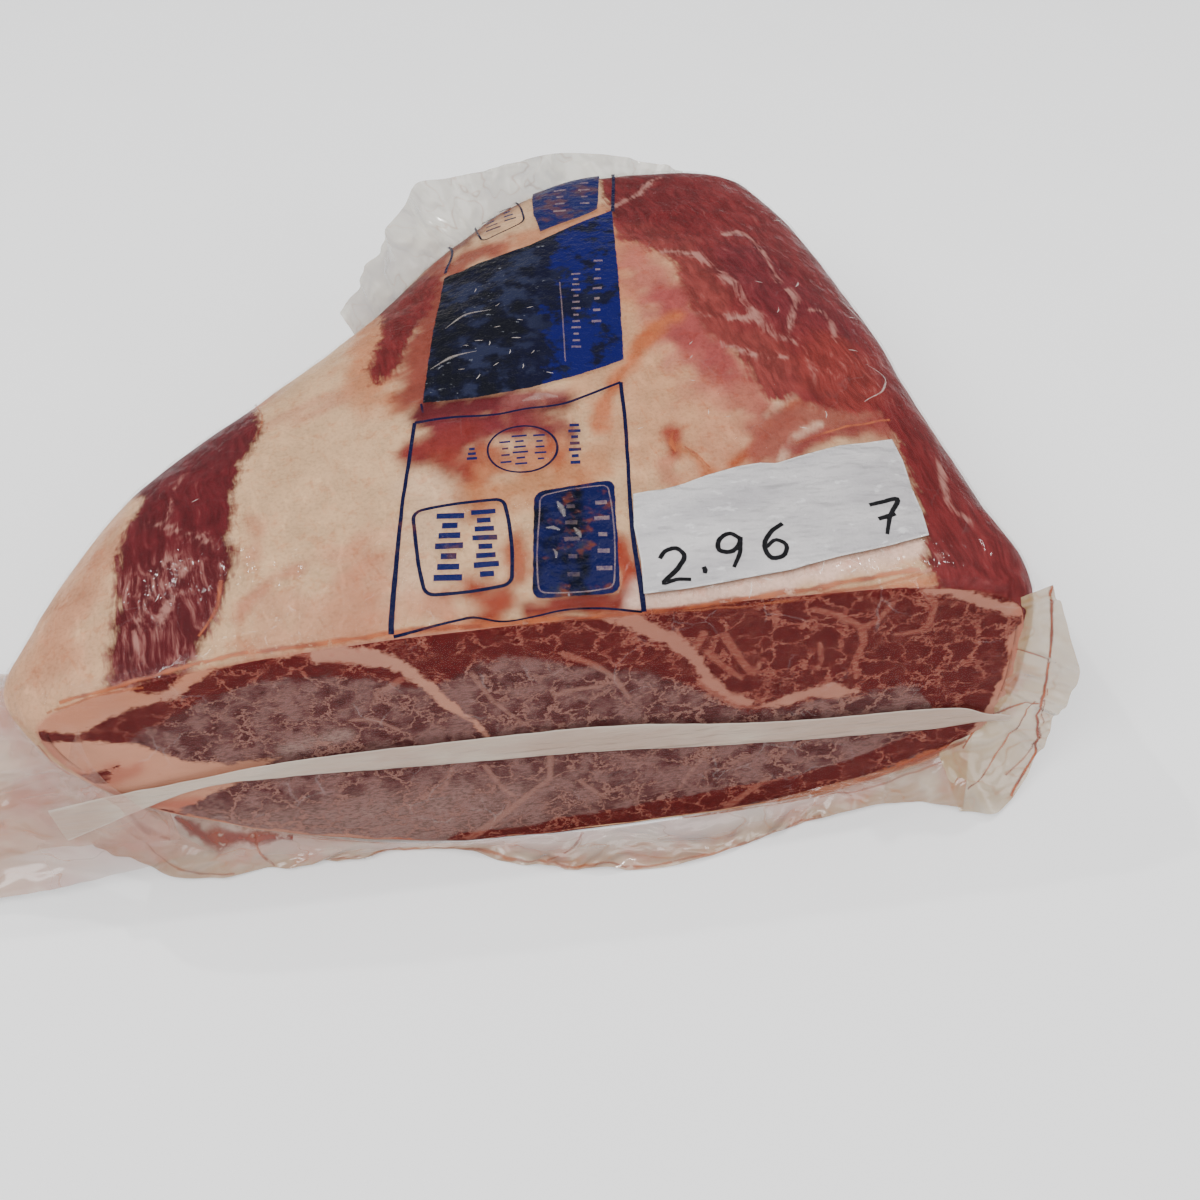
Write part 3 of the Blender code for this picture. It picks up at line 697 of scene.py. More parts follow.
def paint_beef(made, skin):
    """Store on the beef where its muscle, bloom, marbling, fat and flesh colours are."""
    points = skin.points
    cut = np.zeros(len(points), dtype=bool)
    for face, on_cut in zip(skin.faces, skin.on_cut):
        if on_cut:
            cut[face] = True
    plan, front = points[:, :2], points[:, (0, 2)]
    upright = skin.normals[:, 2]
    wobble = noise_at(points, 7.0, 2.3) + 0.5 * noise_at(points, 3.5, 6.1)

    # Cut face
    meat = muscle = inside(front, CUT_MEAT)
    thick = [seam for seam in CUT_SEAMS if seam[0] > THIN_SEAM]
    thin = seam_field(front, [seam for seam in CUT_SEAMS if seam[0] <= THIN_SEAM])
    muscle = np.minimum(muscle, -seam_field(front, thick))
    muscle = np.minimum(muscle, -inside(front, CUT_WEDGE))
    for island in CUT_ISLANDS:
        muscle = np.maximum(muscle, inside(front, island))
    line_z = np.interp(front[:, 0], [p[0] for p in BLOOM_TOP], [p[1] for p in BLOOM_TOP])
    bloom = soft(line_z - front[:, 1], -3.0, 4.0) * soft(meat, -3.0, 0.0)
    low_red, _ = line_distance(front, BOTTOM_RED)
    bloom = bloom * soft(low_red, 2.5, 6.0) * (1 - soft(front[:, 0], 128, 138))
    right = soft(front[:, 0], 50, 72)
    marbling = 0.45 + 0.55 * right * soft(front[:, 1], 30, 42)
    marbling = np.maximum(marbling, 0.6 * soft(front[:, 0], -8, 22) * (1 - right))
    marbling = np.maximum(marbling, 0.5 * right) * (0.35 + 0.65 * soft(front[:, 0], -75, -50))
    haze_and_glare = 0.75 * soft(-front[:, 1], -30, -16) * (1 - soft(front[:, 0], -20, 60))
    # A painted glare: a short lighter line across the cut face, kept together with the film's haze
    glare, _ = line_distance(front, [(-44, 42.5), (-36, 44), (-28, 45)])
    haze_and_glare = np.maximum(haze_and_glare, soft(-glare, -4, 0))

    # Top, sides and back
    top = np.maximum(inside(plan, LEFT_PATCH), inside(plan, STREAK_PATCH))
    top = np.maximum(top, inside(plan, RIGHT_MUSCLE))
    height = points[:, 2]
    broad = noise_at(points, 34.0, 4.2) + 0.4 * wobble
    low = np.where(points[:, 0] > 60, 4.0, 24.0)
    top = top - (22.0 + 12.0 * broad) * (1 - soft(height, low, low + 32.0))
    under = soft(-upright, 0.2, 0.6)
    top = top * (1 - under) + under * (8.0 * noise_at(points, 40.0, 4.2) - 2.0)
    muscle = np.where(cut, muscle, top)

    shown = soft(height, 22, 46) * soft(upright, 0.0, 0.4)
    fat = dab(np.tile(FAT, (len(points), 1)), plan, TOP_DABS, wobble, shown)
    side = ((1 - shown) * soft(broad, -0.3, 0.5) * 0.75)[:, None]
    fat = fat * (1 - side) + np.array(srgb(168, 112, 88)) * side
    cut_fat = dab(np.tile(CUT_FAT, (len(points), 1)), front, CUT_DABS, wobble)
    fat = np.where(cut[:, None], cut_fat, fat)
    flesh = dab(np.tile(FLESH, (len(points), 1)), plan, TOP_FLESH, wobble)
    flesh = np.where(cut[:, None], np.array(CUT_FLESH), flesh)
    pale = 0.5 * soft(-points[:, 1], -54, -26) * (1 - soft(points[:, 0], -50, -40))
    by_label = soft(points[:, 0], 108, 118) * soft(-np.abs(points[:, 1] - 76), -16, -8)
    pale = np.maximum(pale, 0.35 * by_label)
    seams = soft(seam_field(plan, TOP_SEAMS), -3.0, 1.2)
    pale = np.maximum(pale, (0.8 + 0.5 * noise_at(points, 8.0, 7.7)) * seams)
    pale = np.maximum(pale, 0.18 + 0.2 * (1 - soft(height, 34, 60)) * soft(broad, -0.4, 0.4))

    stored = {"muscle": muscle, "bloom": bloom, "marbling": marbling, "pale": pale, "thin": thin,
              "haze_and_glare": haze_and_glare, "fat": fat, "flesh": flesh}
    for name, values in stored.items():
        keep(made, name, values)


def make_beef():
    """The beef itself, drawn in a little under the film."""
    skin = Skin(half_count=250, depth_step=2.1, face_rows=70)
    points = skin.moved(relief(skin.points) - BEEF_UNDER)
    made = piece("beef", points, skin.faces, [fat_cap(), marbled_cut()])
    made.data.polygons.foreach_set("material_index", np.array(skin.on_cut, dtype=np.int32))
    paint_beef(made, skin)
    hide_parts("vacuum_pack")


def clear_film():
    """Tight shrink film: clear, with wrinkles that catch the light."""
    f = Finish("clear_film")
    place = f.where()
    bent = f.moved(place, f.noise(place, 11.0, 2.0, colour=True), 9.0)
    ridge = 1 - f.step(f.cells(bent, 13.0), 0.0, 0.03)
    creased = f.step(f.noise(place, 16.0, 2.0), 0.5, 0.66)
    normal = f.bump(f.noise(f.stretched(place, 1.0, 0.6, 1.0), 5.0, 2.0, 0.5), 0.002, 0.6)
    gleam = f.node("Fresnel", {}, {"IOR": 1.25, "Normal": normal})
    return f.done(Base_Color=(0.9, 0.9, 0.88), Metallic=1.0, Roughness=0.1,
                  Alpha=(gleam * 0.26 + ridge * creased * 0.05).at_most(0.35), Normal=normal)


def make_film_skin():
    """The tight film over the beef, and a tree of its surface for what lies on it."""
    skin = Skin(half_count=110, depth_step=3.0, face_rows=30)
    points = skin.moved(relief(skin.points) - FILM_UNDER)
    made = piece("film_skin", points, skin.faces, [clear_film()])
    made.visible_shadow = False
    made.visible_diffuse = False
    return BVHTree.FromPolygons([Vector(p) for p in points], skin.faces)


# Loose film

def milky_film(name, tone, cover, fold, stain=0.6, thicker=-0.1, trace=srgb(152, 92, 62)):
    """Loose film away from the meat: folded, half clear, tinted by a trace of juice, with painted highlights
    on its fold crests and painted shade in its hollows.
    """
    f = Finish(name)
    place, out = f.where(), f.kept("out")
    cloud = f.noise(place, fold * 1.5, 3.0, 0.6)
    bent = f.moved(place, f.noise(place, fold * 3, 2.0, colour=True), fold * 2.5)
    folds = f.noise(f.stretched(bent, 0.3, 1.0, 0.6), fold, 2.0, 0.45)
    sharp = 1 - f.step(abs(folds - 0.5), 0.0, 0.012)
    tint = f.step(cloud + 0.16 - out * 0.34, stain - 0.12, stain + 0.12)
    colour = f.mix(tint, tone, trace)
    # Painted highlight on the fold crests and painted shade in the fold hollows, from the same folds as the
    # bump
    colour = f.mix(f.step(folds, 0.52, 0.7) * 0.4, colour, srgb(216, 206, 190))
    colour = f.mix(f.step(folds, 0.48, 0.34) * 0.3, colour, srgb(140, 108, 84))
    colour = f.mix(sharp * 0.45, colour, srgb(156, 104, 72))
    normal = f.bump(folds, 0.009, 0.7)
    alpha = cover + sharp * 0.14 + f.step(folds, 0.5, 0.75) * 0.12 + f.step(out, 0.1, 0.9) * thicker
    return f.done(Base_Color=colour, Roughness=0.12 + cloud * 0.1, Specular_IOR_Level=0.8,
                  Alpha=alpha.at_most(1.0), Normal=normal)


def along_line(line, count):
    """Evenly spaced points on a smooth curve through a line's points."""
    line = np.array(line, dtype=float)
    steps = np.linalg.norm(np.diff(line, axis=0), axis=1)
    travelled = np.concatenate([[0.0], np.cumsum(steps)])
    at = np.linspace(0.0, travelled[-1], count)
    return np.stack([curve_through(list(zip(travelled, line[:, k])), at)
                     for k in range(line.shape[1])], axis=1)


def loose_film(name, guides, cells, material, ruffle=0.0, waves=0.0, crumple=0.0, seed=1.0):
    """A sheet of film through guide lines, with pleats that grow away from the block."""
    columns, rows = cells
    lines = np.stack([along_line(guide, columns + 1) for guide in guides])
    spots = np.linspace(0.0, 1.0, len(guides))
    grid = np.empty((rows + 1, columns + 1, 3))
    for column in range(columns + 1):
        for axis in range(3):
            knots = list(zip(spots, lines[:, column, axis]))
            grid[:, column, axis] = curve_through(knots, np.linspace(0.0, 1.0, rows + 1))
    normal = np.cross(np.gradient(grid, axis=1), np.gradient(grid, axis=0))
    normal = normal / np.linalg.norm(normal, axis=2, keepdims=True)
    outward = np.linspace(0.0, 1.0, rows + 1)[:, None, None]
    turn = 2 * math.pi * waves * np.linspace(0.0, 1.0, columns + 1)
    turn = turn + 1.7 * np.sin(turn * 0.37 + seed)
    wave = (np.sin(turn) + 0.45 * np.sin(2.3 * turn + seed))[None, :, None]
    grid = grid + normal * wave * outward * ruffle
    flat = grid.reshape(-1, 3)
    shake = (noise_at(flat, 9.0, seed) + 0.5 * noise_at(flat, 4.0, seed + 4)).reshape(grid.shape[:2])
    grid = grid + normal * (shake * crumple)[..., None] * soft(outward, 0.0, 0.3)
    grid[..., 2] = np.maximum(grid[..., 2], LOOSE_FILM_GAP)
    faces = grid_faces(rows + 1, columns + 1)
    if normal.mean(axis=(0, 1)) @ (0, -1, 0.6) < 0:
        faces = [face[::-1] for face in faces]
    made = piece(name, grid.reshape(-1, 3), faces, [material])
    made.visible_diffuse = False
    keep(made, "out", np.repeat(np.linspace(0.0, 1.0, rows + 1), columns + 1))
    return grid, Surface(BVHTree.FromPolygons([Vector(p) for p in grid.reshape(-1, 3)], faces))


def on_sheet(grid, line):
    """Points of a sheet at places given as (along, outward), each from 0 to 1."""
    rows, columns = grid.shape[0] - 1, grid.shape[1] - 1
    return [grid[round(out * rows), round(along * columns)] for along, out in line]


def placed(find, lines):
    """Lines as (points, widths, strength), with their points found in space."""
    return [(find(line), widths, strength) for line, widths, strength in lines]


# Folds of the end fin that hold juice, as places on the sheet
FIN_FOLDS = [
    ([(1.0, 0.97), (0.9, 0.8), (0.75, 0.66), (0.55, 0.68), (0.42, 0.82), (0.34, 0.96), (0.17, 0.97)],
     [1.5, 1.1, 1.2, 1.6], 0.9),
    ([(0.72, 0.05), (0.72, 0.4), (0.7, 0.72)], [0.6, 0.9], 0.8),
    ([(0.5, 0.7), (0.42, 0.4), (0.3, 0.25), (0.12, 0.3)], [0.9, 1.2, 0.7], 0.8),
    ([(0.5, 0.66), (0.36, 0.6), (0.2, 0.6), (0.05, 0.7)], [0.6, 1.1, 0.6], 0.7),
    ([(0.56, 0.7), (0.3, 0.88), (0.2, 0.8)], [0.7, 0.9], 0.6)]
# Folds of the skirt that hold juice
SKIRT_FOLDS = [
    ([(0.17, 0.1), (0.2, 0.5), (0.24, 0.95)], [0.8, 1.6, 0.6], 0.6),
    ([(0.3, 0.97), (0.45, 0.96), (0.56, 0.97), (0.7, 0.96), (0.84, 0.97)],
     [0.8, 1.6, 1.0, 1.6], 0.55),
    ([(0.53, 0.05), (0.54, 0.5), (0.53, 0.9)], [1.2, 0.6, 1.0], 0.5),
    ([(0.82, 0.3), (0.88, 0.5), (0.97, 0.4)], [0.6, 1.0], 0.5),
    ([(0.06, 0.6), (0.12, 0.8), (0.2, 0.97)], [0.6, 1.0], 0.5)]
# Red meat that shows through the skirt
SKIRT_MEAT = [
    ([(0.08, 0.15), (0.12, 0.25), (0.17, 0.2), (0.21, 0.1)], [3.0, 9.0, 8.0, 2.0], 0.8),
    ([(0.04, 0.3), (0.07, 0.45), (0.1, 0.5)], [1.5, 4.0, 1.5], 0.5)]


def make_loose_film():
    """The sheets of loose film round the block, and the juice in their folds."""
    neck_film = milky_film("neck_film", srgb(180, 146, 120), 0.58, 11.0, 0.52, 0.22, srgb(174, 116, 92))
    fin_film = milky_film("fin_film", srgb(168, 140, 100), 0.8, 9.0, 0.66)
    back_film = milky_film("back_film", srgb(176, 168, 146), 0.7, 9.0, 0.85)
    skirt_film = milky_film("skirt_film", srgb(162, 128, 98), 0.46, 8.0, 0.48, 0.36,
                            srgb(166, 106, 78))
    tip_film = milky_film("tip_film", srgb(184, 142, 118), 0.26, 12.0, 0.46, 0.46, srgb(178, 112, 92))
    loose_film("film_over_tip",
               [[(-70, -16, 13), (-82, -12.5, 30), (-92, -7.5, 50), (-92, 1, 64)],
                [(-104, -16, 5), (-112, -7, 26), (-115, 2, 42), (-108, 12, 58)],
                [(-140, -18, 3), (-146, -8, 14), (-146, 6, 24), (-138, 22, 36)]],
               (80, 50), tip_film, ruffle=1.6, waves=3.5, crumple=0.8, seed=14.0)
    loose_film("film_neck",
               [[(-78, -9.5, 9.5), (-81, -2, 30.5), (-89.5, 7.5, 49.5), (-88, 21, 61)],
                [(-127.5, -4.5, 3), (-124.5, 5.5, 17), (-120.5, 14, 30.5), (-114, 26, 45)],
                [(-175.5, -28.5, 2), (-180.5, -2, 5.5), (-180.5, 30.5, 9.5), (-175, 62, 15.5)]],
               (110, 70), neck_film, ruffle=2.6, waves=4.5, crumple=1.0, seed=2.0)
    skirt, skirt_surface = loose_film("film_skirt",
               [[(-91, -2, 32.5), (-74, -7.5, 20), (-47.5, -12.5, 11), (-19, -15.5, 3.5), (19, -17, 1.2),
                 (57, -17.2, 1), (95, -15.5, 4.5), (123.5, -13, 11), (144.5, -9.5, 22)],
                [(-113, 2, 1.3), (-95, -8.5, 1.3), (-79, -16.5, 1.3), (-47.5, -17.5, 1.3),
                 (-9.5, -17.5, 1.3), (21, -27.5, 1.3), (57, -31.5, 1.3), (93, -24, 1.3),
                 (115, -20.5, 1.3), (140.5, -24.5, 1.5)]],
               (220, 22), skirt_film, ruffle=0.9, waves=11.0, crumple=0.9, seed=5.0)
    fin, fin_surface = loose_film("film_end_fin",
               [[(133, -9.5, 17), (143.5, -7.5, 28.5), (148, -4, 45.5), (149, 1, 61)],
                [(139.5, -26.5, 1.5), (150, -27.5, 1.5), (160.5, -20, 5.5), (166, -14, 24),
                 (169, -12.5, 41), (162.5, -7.5, 59), (157, -3, 71)]],
               (110, 34), fin_film, ruffle=1.2, waves=5.0, crumple=0.5, seed=7.0)
    depths = np.array([5.5, 38, 76, 114, 152, 186])
    heights = np.array([57, 43.5, 40, 40, 40, 40])
    root = np.stack([curve_through(RIGHT_EDGE, depths) - 4.0, depths, heights], axis=1)
    reach = np.outer((0.1, 0.8, 1, 0.9, 0.8, 0.1), (11, -1, -3))
    loose_film("film_end_flange", [root, root + reach], (110, 10), fin_film,
               ruffle=1.0, waves=8.0, crumple=0.4, seed=9.0)
    loose_film("film_back_fin",
               [[(-19, 135, 59), (-4, 156, 57), (13.5, 173, 57), (38, 192, 53), (68.5, 201.5, 49.5),
                 (95, 201.5, 47.5)],
                [(-23, 137, 69.5), (-11.5, 156, 76), (-1, 177.5, 79), (4, 189, 80), (14, 192, 79),
                 (28.5, 198.5, 77), (52, 210, 74), (78, 216.5, 66.5), (100.5, 216.5, 59)]],
               (140, 28), back_film, ruffle=1.3, waves=6.5, crumple=0.9, seed=11.0)
    juice = purge_line("fold_juice", srgb(160, 78, 42))
    meat = purge_line("meat_under_film", srgb(108, 42, 38))
    on_fin, on_skirt = partial(on_sheet, fin), partial(on_sheet, skirt)
    fin_surface.strips("fin_creases", placed(on_fin, FIN_FOLDS), JUICE_OVER, juice, wander=0.4)
    skirt_surface.strips("meat_under_skirt", placed(on_skirt, SKIRT_MEAT), MEAT_OVER, meat, wander=0.8)
    skirt_surface.strips("skirt_creases", placed(on_skirt, SKIRT_FOLDS), JUICE_OVER, juice, wander=0.5)


SEAL_ROWS, SEAL_COLUMNS = 10, 200
# Edges of the folded side seal on the cut face, as (x, z)
SEAL_TOP = [
    (-106.5, 32.5), (-85.5, 35.5), (-74.5, 36.5), (-53.5, 39), (-27.5, 40.2), (-1.5, 40),
    (35.5, 39.5), (49, 38.5), (70.5, 35.5), (93, 33.3), (112.5, 32.5), (132.5, 31.5), (140, 30.5),
    (146, 27.8), (153.5, 26)]
SEAL_BOTTOM = [
    (-104.5, 21), (-85, 28.5), (-67.5, 34), (-44, 34.4), (-15.5, 33), (5.5, 32), (38, 30.5),
    (65.5, 28), (93.5, 26), (116, 25), (133.5, 24.3), (146, 24.8), (153.5, 24.5)]
# How far the seal stands off the cut face, in its middle and at its edges
SEAL_PROUD, SEAL_EDGE_PROUD = 0.8, 0.45


def make_side_seal():
    """The side seal folded flat across the cut face."""
    upper, lower = along_line(SEAL_TOP, SEAL_COLUMNS), along_line(SEAL_BOTTOM, SEAL_COLUMNS)
    grid = []
    for row in range(SEAL_ROWS + 1):
        t = row / SEAL_ROWS
        line = lower * (1 - t) + upper * t
        proud = SEAL_PROUD if 0 < row < SEAL_ROWS else SEAL_EDGE_PROUD
        grid.append(np.stack([line[:, 0], face_y(line[:, 1]) - proud, line[:, 1]], axis=1))
    grid = np.concatenate(grid)
    grid[:, 1] -= 0.18 * (1 + noise_at(grid, 5.0, 8.0))
    f = Finish("seal_strip")
    place, across = f.where(), f.kept("across")
    grain = f.noise(f.stretched(place, 0.25, 1.0, 1.0), 2.5, 3.0)
    broad = f.noise(f.stretched(place, 0.4, 1.0, 1.0), 14.0, 2.0)
    tone = f.mix(f.step(broad, 0.35, 0.65), srgb(184, 168, 152), srgb(168, 144, 128))
    tone = f.mix(f.step(grain, 0.5, 0.75) * 0.3, tone, srgb(144, 112, 98))
    tone = f.mix(f.step(across, 0.86, 0.99) * 0.6, tone, srgb(200, 190, 178))
    lines = f.step(f.noise(f.stretched(place, 0.12, 1.0, 1.0), 1.6, 2.0), 0.35, 0.7)
    material = f.done(Base_Color=tone, Roughness=0.26 + grain * 0.1, Alpha=0.84 + grain * 0.14,
                      Specular_IOR_Level=0.5, Normal=f.bump(lines, 0.0006, 0.5))
    made = piece("side_seal_strip", grid, grid_faces(SEAL_ROWS + 1, SEAL_COLUMNS), [material])
    keep(made, "across", np.repeat(np.abs(np.linspace(-1, 1, SEAL_ROWS + 1)), SEAL_COLUMNS))


# Things that lie on the film

class Surface:
    """Finds places on the tight film, and lays flat things on it."""

    def __init__(self, tree):
        self.tree = tree

    def from_above(self, x, y, lift=0.0):
        hit, normal, _, _ = self.tree.ray_cast(Vector((x, y, ABOVE_ALL)), Vector((0, 0, -1)))
        return np.array(hit + normal * lift)

    def on_top(self, line):
        return [self.from_above(x, y) for x, y in line]

    def on_cut(self, line):
        return [(x, face_y(z), z) for x, z in line]

    def nearest(self, point, lift=0.0):
        hit, normal, _, _ = self.tree.find_nearest(Vector(point))
        return np.array(hit + normal * lift), np.array(normal)

    def strips(self, name, lines, lift, material, raised=0.0, wander=0.0):
        """Flat or raised lines on the film, as one piece: (3D guide points, widths, strength)."""
        points, faces, across, strengths = [], [], [], []
        lanes = np.linspace(-1.0, 1.0, STRIP_LANES)
        for number, (line, widths, strength) in enumerate(lines):
            length = np.linalg.norm(np.diff(np.array(line, dtype=float), axis=0), axis=1).sum()
            count = max(STRIP_LANES, int(length / STRIP_STEP))
            middle = along_line(line, count)
            found = [self.nearest(p) for p in middle]
            spots, normals = np.array([p for p, _ in found]), np.array([n for _, n in found])
            side = np.cross(normals, np.gradient(spots, axis=0))
            side = side / np.maximum(np.linalg.norm(side, axis=1, keepdims=True), 1e-9)
            half = np.interp(np.linspace(0, 1, count), np.linspace(0, 1, len(widths)), widths) / 2
            if wander:
                half = half * (1 + min(1.0, wander) * noise_at(spots, 2.6, 4.4 + number))
                spots = spots + side * (wander * noise_at(spots, 6.0, 9.1 + number))[:, None]
            for lane in lanes:
                high = lift + raised * half * (1 - lane ** 2)
                row = spots + side * half[:, None] * lane
                points.extend(self.nearest(p, h)[0] for p, h in zip(row, high))
            faces += grid_faces(STRIP_LANES, count, len(points) - STRIP_LANES * count)
            across.append(np.repeat(np.abs(lanes), count))
            strengths.append(np.full(STRIP_LANES * count, strength))
        made = piece(name, np.array(points), faces, [material])
        made.visible_shadow = False
        keep(made, "across", np.concatenate(across))
        keep(made, "strength", np.concatenate(strengths))
        return made

    def field(self, name, outline, step, lift, material):
        """A flat shape cut to an outline (x, y) and laid on the film from above."""
        corners = np.array(outline, dtype=float)
        low, high = corners.min(axis=0), corners.max(axis=0)
        xs, ys = [np.arange(low[k] - step, high[k] + step, step) for k in range(2)]
        plan = np.stack([grid.ravel() for grid in np.meshgrid(xs, ys)], axis=1)
        depth = inside(plan, outline)
        # Points just outside are drawn in to the outline, so that the edge is clean
        wanted = depth > -1.5 * step
        near = (depth < 0) & wanted
        closed = np.vstack([corners, corners[:1]])
        for k in np.nonzero(near)[0]:
            plan[k] = closest_on(plan[k], closed)
        faces = [face for face in grid_faces(len(ys), len(xs))
                 if all(wanted[face]) and max(depth[face]) > 0]
        used = sorted({corner for face in faces for corner in face})
        number = {old: new for new, old in enumerate(used)}
        points = np.array([self.from_above(*plan[k], lift) for k in used])
        made = piece(name, points, [[number[c] for c in face] for face in faces], [material])
        keep(made, "edge", np.maximum(depth[used], 0.0))
        return made, plan[used]


def closest_on(place, line):
    """The point of a polyline nearest to a place."""
    best, found = 1e9, place
    for a, b in zip(line[:-1], line[1:]):
        t = np.clip((place - a) @ (b - a) / max((b - a) @ (b - a), 1e-9), 0.0, 1.0)
        away = np.linalg.norm(place - a - t * (b - a))
        if away < best:
            best, found = away, a + t * (b - a)
    return found


def rounded(corners, radius):
    """A closed outline with its corners rounded."""
    corners = np.array(corners, dtype=float)
    out = []
    for k, corner in enumerate(corners):
        before, after = corners[k - 1] - corner, corners[(k + 1) % len(corners)] - corner
        start = corner + before / np.linalg.norm(before) * radius
        end = corner + after / np.linalg.norm(after) * radius
        for t in np.linspace(0, 1, 6):
            out.append(tuple((1 - t) ** 2 * start + 2 * t * (1 - t) * corner + t * t * end))
    return out


# Label

LABEL_OUTLINE = [
    (53, 34.5), (57, 34.9), (61, 35), (67.5, 36.4), (73.5, 38.5), (81.5, 40.5), (88.5, 41.5),
    (93, 41), (102.5, 43.5), (112, 46), (120, 47), (127.5, 48.5), (128.2, 40), (127.6, 30),
    (128.4, 22), (128, 14), (117, 11.5), (102, 9), (90, 6.5), (74, 5), (60.5, 4), (51, 4),
    (51.8, 14), (51.6, 24)]
# Strokes of the hand-written figures, each drawn in a box 1 wide and 1 high
FIGURES = {
    "2": [[(0.0, 0.78), (0.2, 0.97), (0.62, 1.0), (0.86, 0.76), (0.62, 0.42), (0.05, 0.04),
           (0.5, 0.08), (1.0, 0.0)]],
    "9": [[(0.92, 0.8), (0.6, 1.0), (0.14, 0.86), (0.1, 0.58), (0.5, 0.46), (0.9, 0.66),
           (0.94, 0.84), (0.86, 0.4), (0.56, 0.0)]],
    "6": [[(0.86, 0.94), (0.4, 0.74), (0.1, 0.32), (0.3, 0.02), (0.74, 0.04), (0.86, 0.32),
           (0.54, 0.5), (0.16, 0.34)]],
    "7": [[(0.02, 0.9), (0.5, 0.95), (0.98, 1.0), (0.62, 0.5), (0.4, 0.0)],
          [(0.22, 0.46), (0.82, 0.54)]],
    ".": [[(0.0, 1.0), (0.3, 0.5), (0.0, 0.0)]]}
# What is written on the label: figure, lower left corner, width and height
WRITTEN = [
    ("2", (56.0, 5.7), 7.5, 10.0), (".", (67.2, 7.8), 0.9, 1.9), ("9", (71.0, 8.2), 7.0, 10.0),
    ("6", (82.8, 9.8), 7.6, 10.6), ("7", (113.4, 14.4), 8.4, 10.8)]


def label_paper():
    """White paper behind film: cool grey, faintly fibrous, with glare along its wrinkles, partly from its
    coat and bump and partly painted as light crinkles.
    """
    f = Finish("label_paper")
    place = f.where()
    broad = f.noise(f.stretched(place, 0.35, 1.0, 1.0), 9.0, 2.0)
    fibre = f.noise(place, 0.7, 3.0, 0.7)
    tone = f.mix(f.step(broad, 0.3, 0.7), srgb(164, 160, 162), srgb(188, 184, 184))
    tone = f.mix(f.step(fibre, 0.45, 0.75) * 0.12, tone, srgb(140, 134, 138))
    tone = f.mix(1 - f.step(f.kept("edge"), 0.0, 0.7), tone, srgb(196, 192, 190))
    shine = f.noise(f.stretched(place, 0.4, 1.0, 1.0), 5.0, 2.0)
    # Light crinkles painted on the paper, standing in for glare on its wrinkles
    painted_crinkle_glint = f.step(f.noise(f.stretched(place, 0.6, 1.0, 1.0), 3.0, 3.0, 0.6), 0.6, 0.7)
    tone = f.mix(painted_crinkle_glint * 0.5, tone, srgb(216, 214, 214))
    return f.done(Base_Color=tone, Roughness=0.42, Specular_IOR_Level=0.3, Coat_Weight=0.4,
                  Coat_Roughness=0.12, Normal=f.bump(shine + fibre * 0.08, 0.006, 0.8))


def marker_ink():
    """Black felt marker on paper, a little uneven."""
    f = Finish("marker_ink")
    soak = f.noise(f.where(), 1.2, 3.0, 0.6)
    tone = f.mix(f.step(soak, 0.4, 0.7), srgb(6, 6, 9), srgb(20, 19, 24))
    return f.done(Base_Color=tone, Roughness=0.5, Specular_IOR_Level=0.08,
                  Alpha=1 - f.step(f.kept("across") + (soak - 0.5) * 0.5, 0.78, 1.1))


def make_label(surface):
    """The hand-cut paper label and what is written on it."""
    made, _ = surface.field("paper_label", LABEL_OUTLINE, LABEL_STEP, LABEL_OVER, label_paper())
    solid = made.modifiers.new("paper", "SOLIDIFY")
    solid.thickness = PAPER_THICKNESS
    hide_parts("label")
    strokes = []
    for figure, (x, y), width, height in WRITTEN:
        for stroke in FIGURES[figure]:
            line = [(x + width * (u + 0.1 * v), y + height * v + width * u * 0.1) for u, v in stroke]
            strokes.append((surface.on_top(line), [1.3, 1.5, 1.1], 1.0))
    written = surface.strips("label_writing", strokes, WRITING_OVER, marker_ink())


# Print on the film

BIG_PANEL = [
    (10, 146.5), (16, 147), (21, 149.5), (38, 154), (51.5, 162), (67.5, 171.5), (63.5, 131),
    (59, 89.5), (45.5, 85), (30.5, 80.5), (15, 78.6), (0, 79), (4.5, 112)]
LOW_PANEL = rounded([(27.2, 39.8), (49, 41.2), (45.4, 5), (23, 5.6)], 3.2)
SMALL_PANEL = [
    (44, 201.5), (56, 206), (69, 211), (66, 192), (63, 173.5), (56.5, 168.5), (42.5, 162),
    (41.5, 175), (42.5, 190)]
LEFT_BOX = rounded([(-5, 37.5), (19.5, 38.5), (18.8, 10.5), (-3.5, 10)], 3.5)
BACK_BOX = rounded([(22, 187), (37, 196), (38.5, 171), (23.5, 164)], 4.0)
LOW_PANEL_LINE = rounded([(28.7, 38.2), (47.2, 39.5), (44.0, 6.6), (24.7, 7.1)], 2.6)
OVAL = [(26 + 9.5 * math.cos(t), 56 + 8.8 * math.sin(t)) for t in np.linspace(0, 2 * math.pi, 31)]
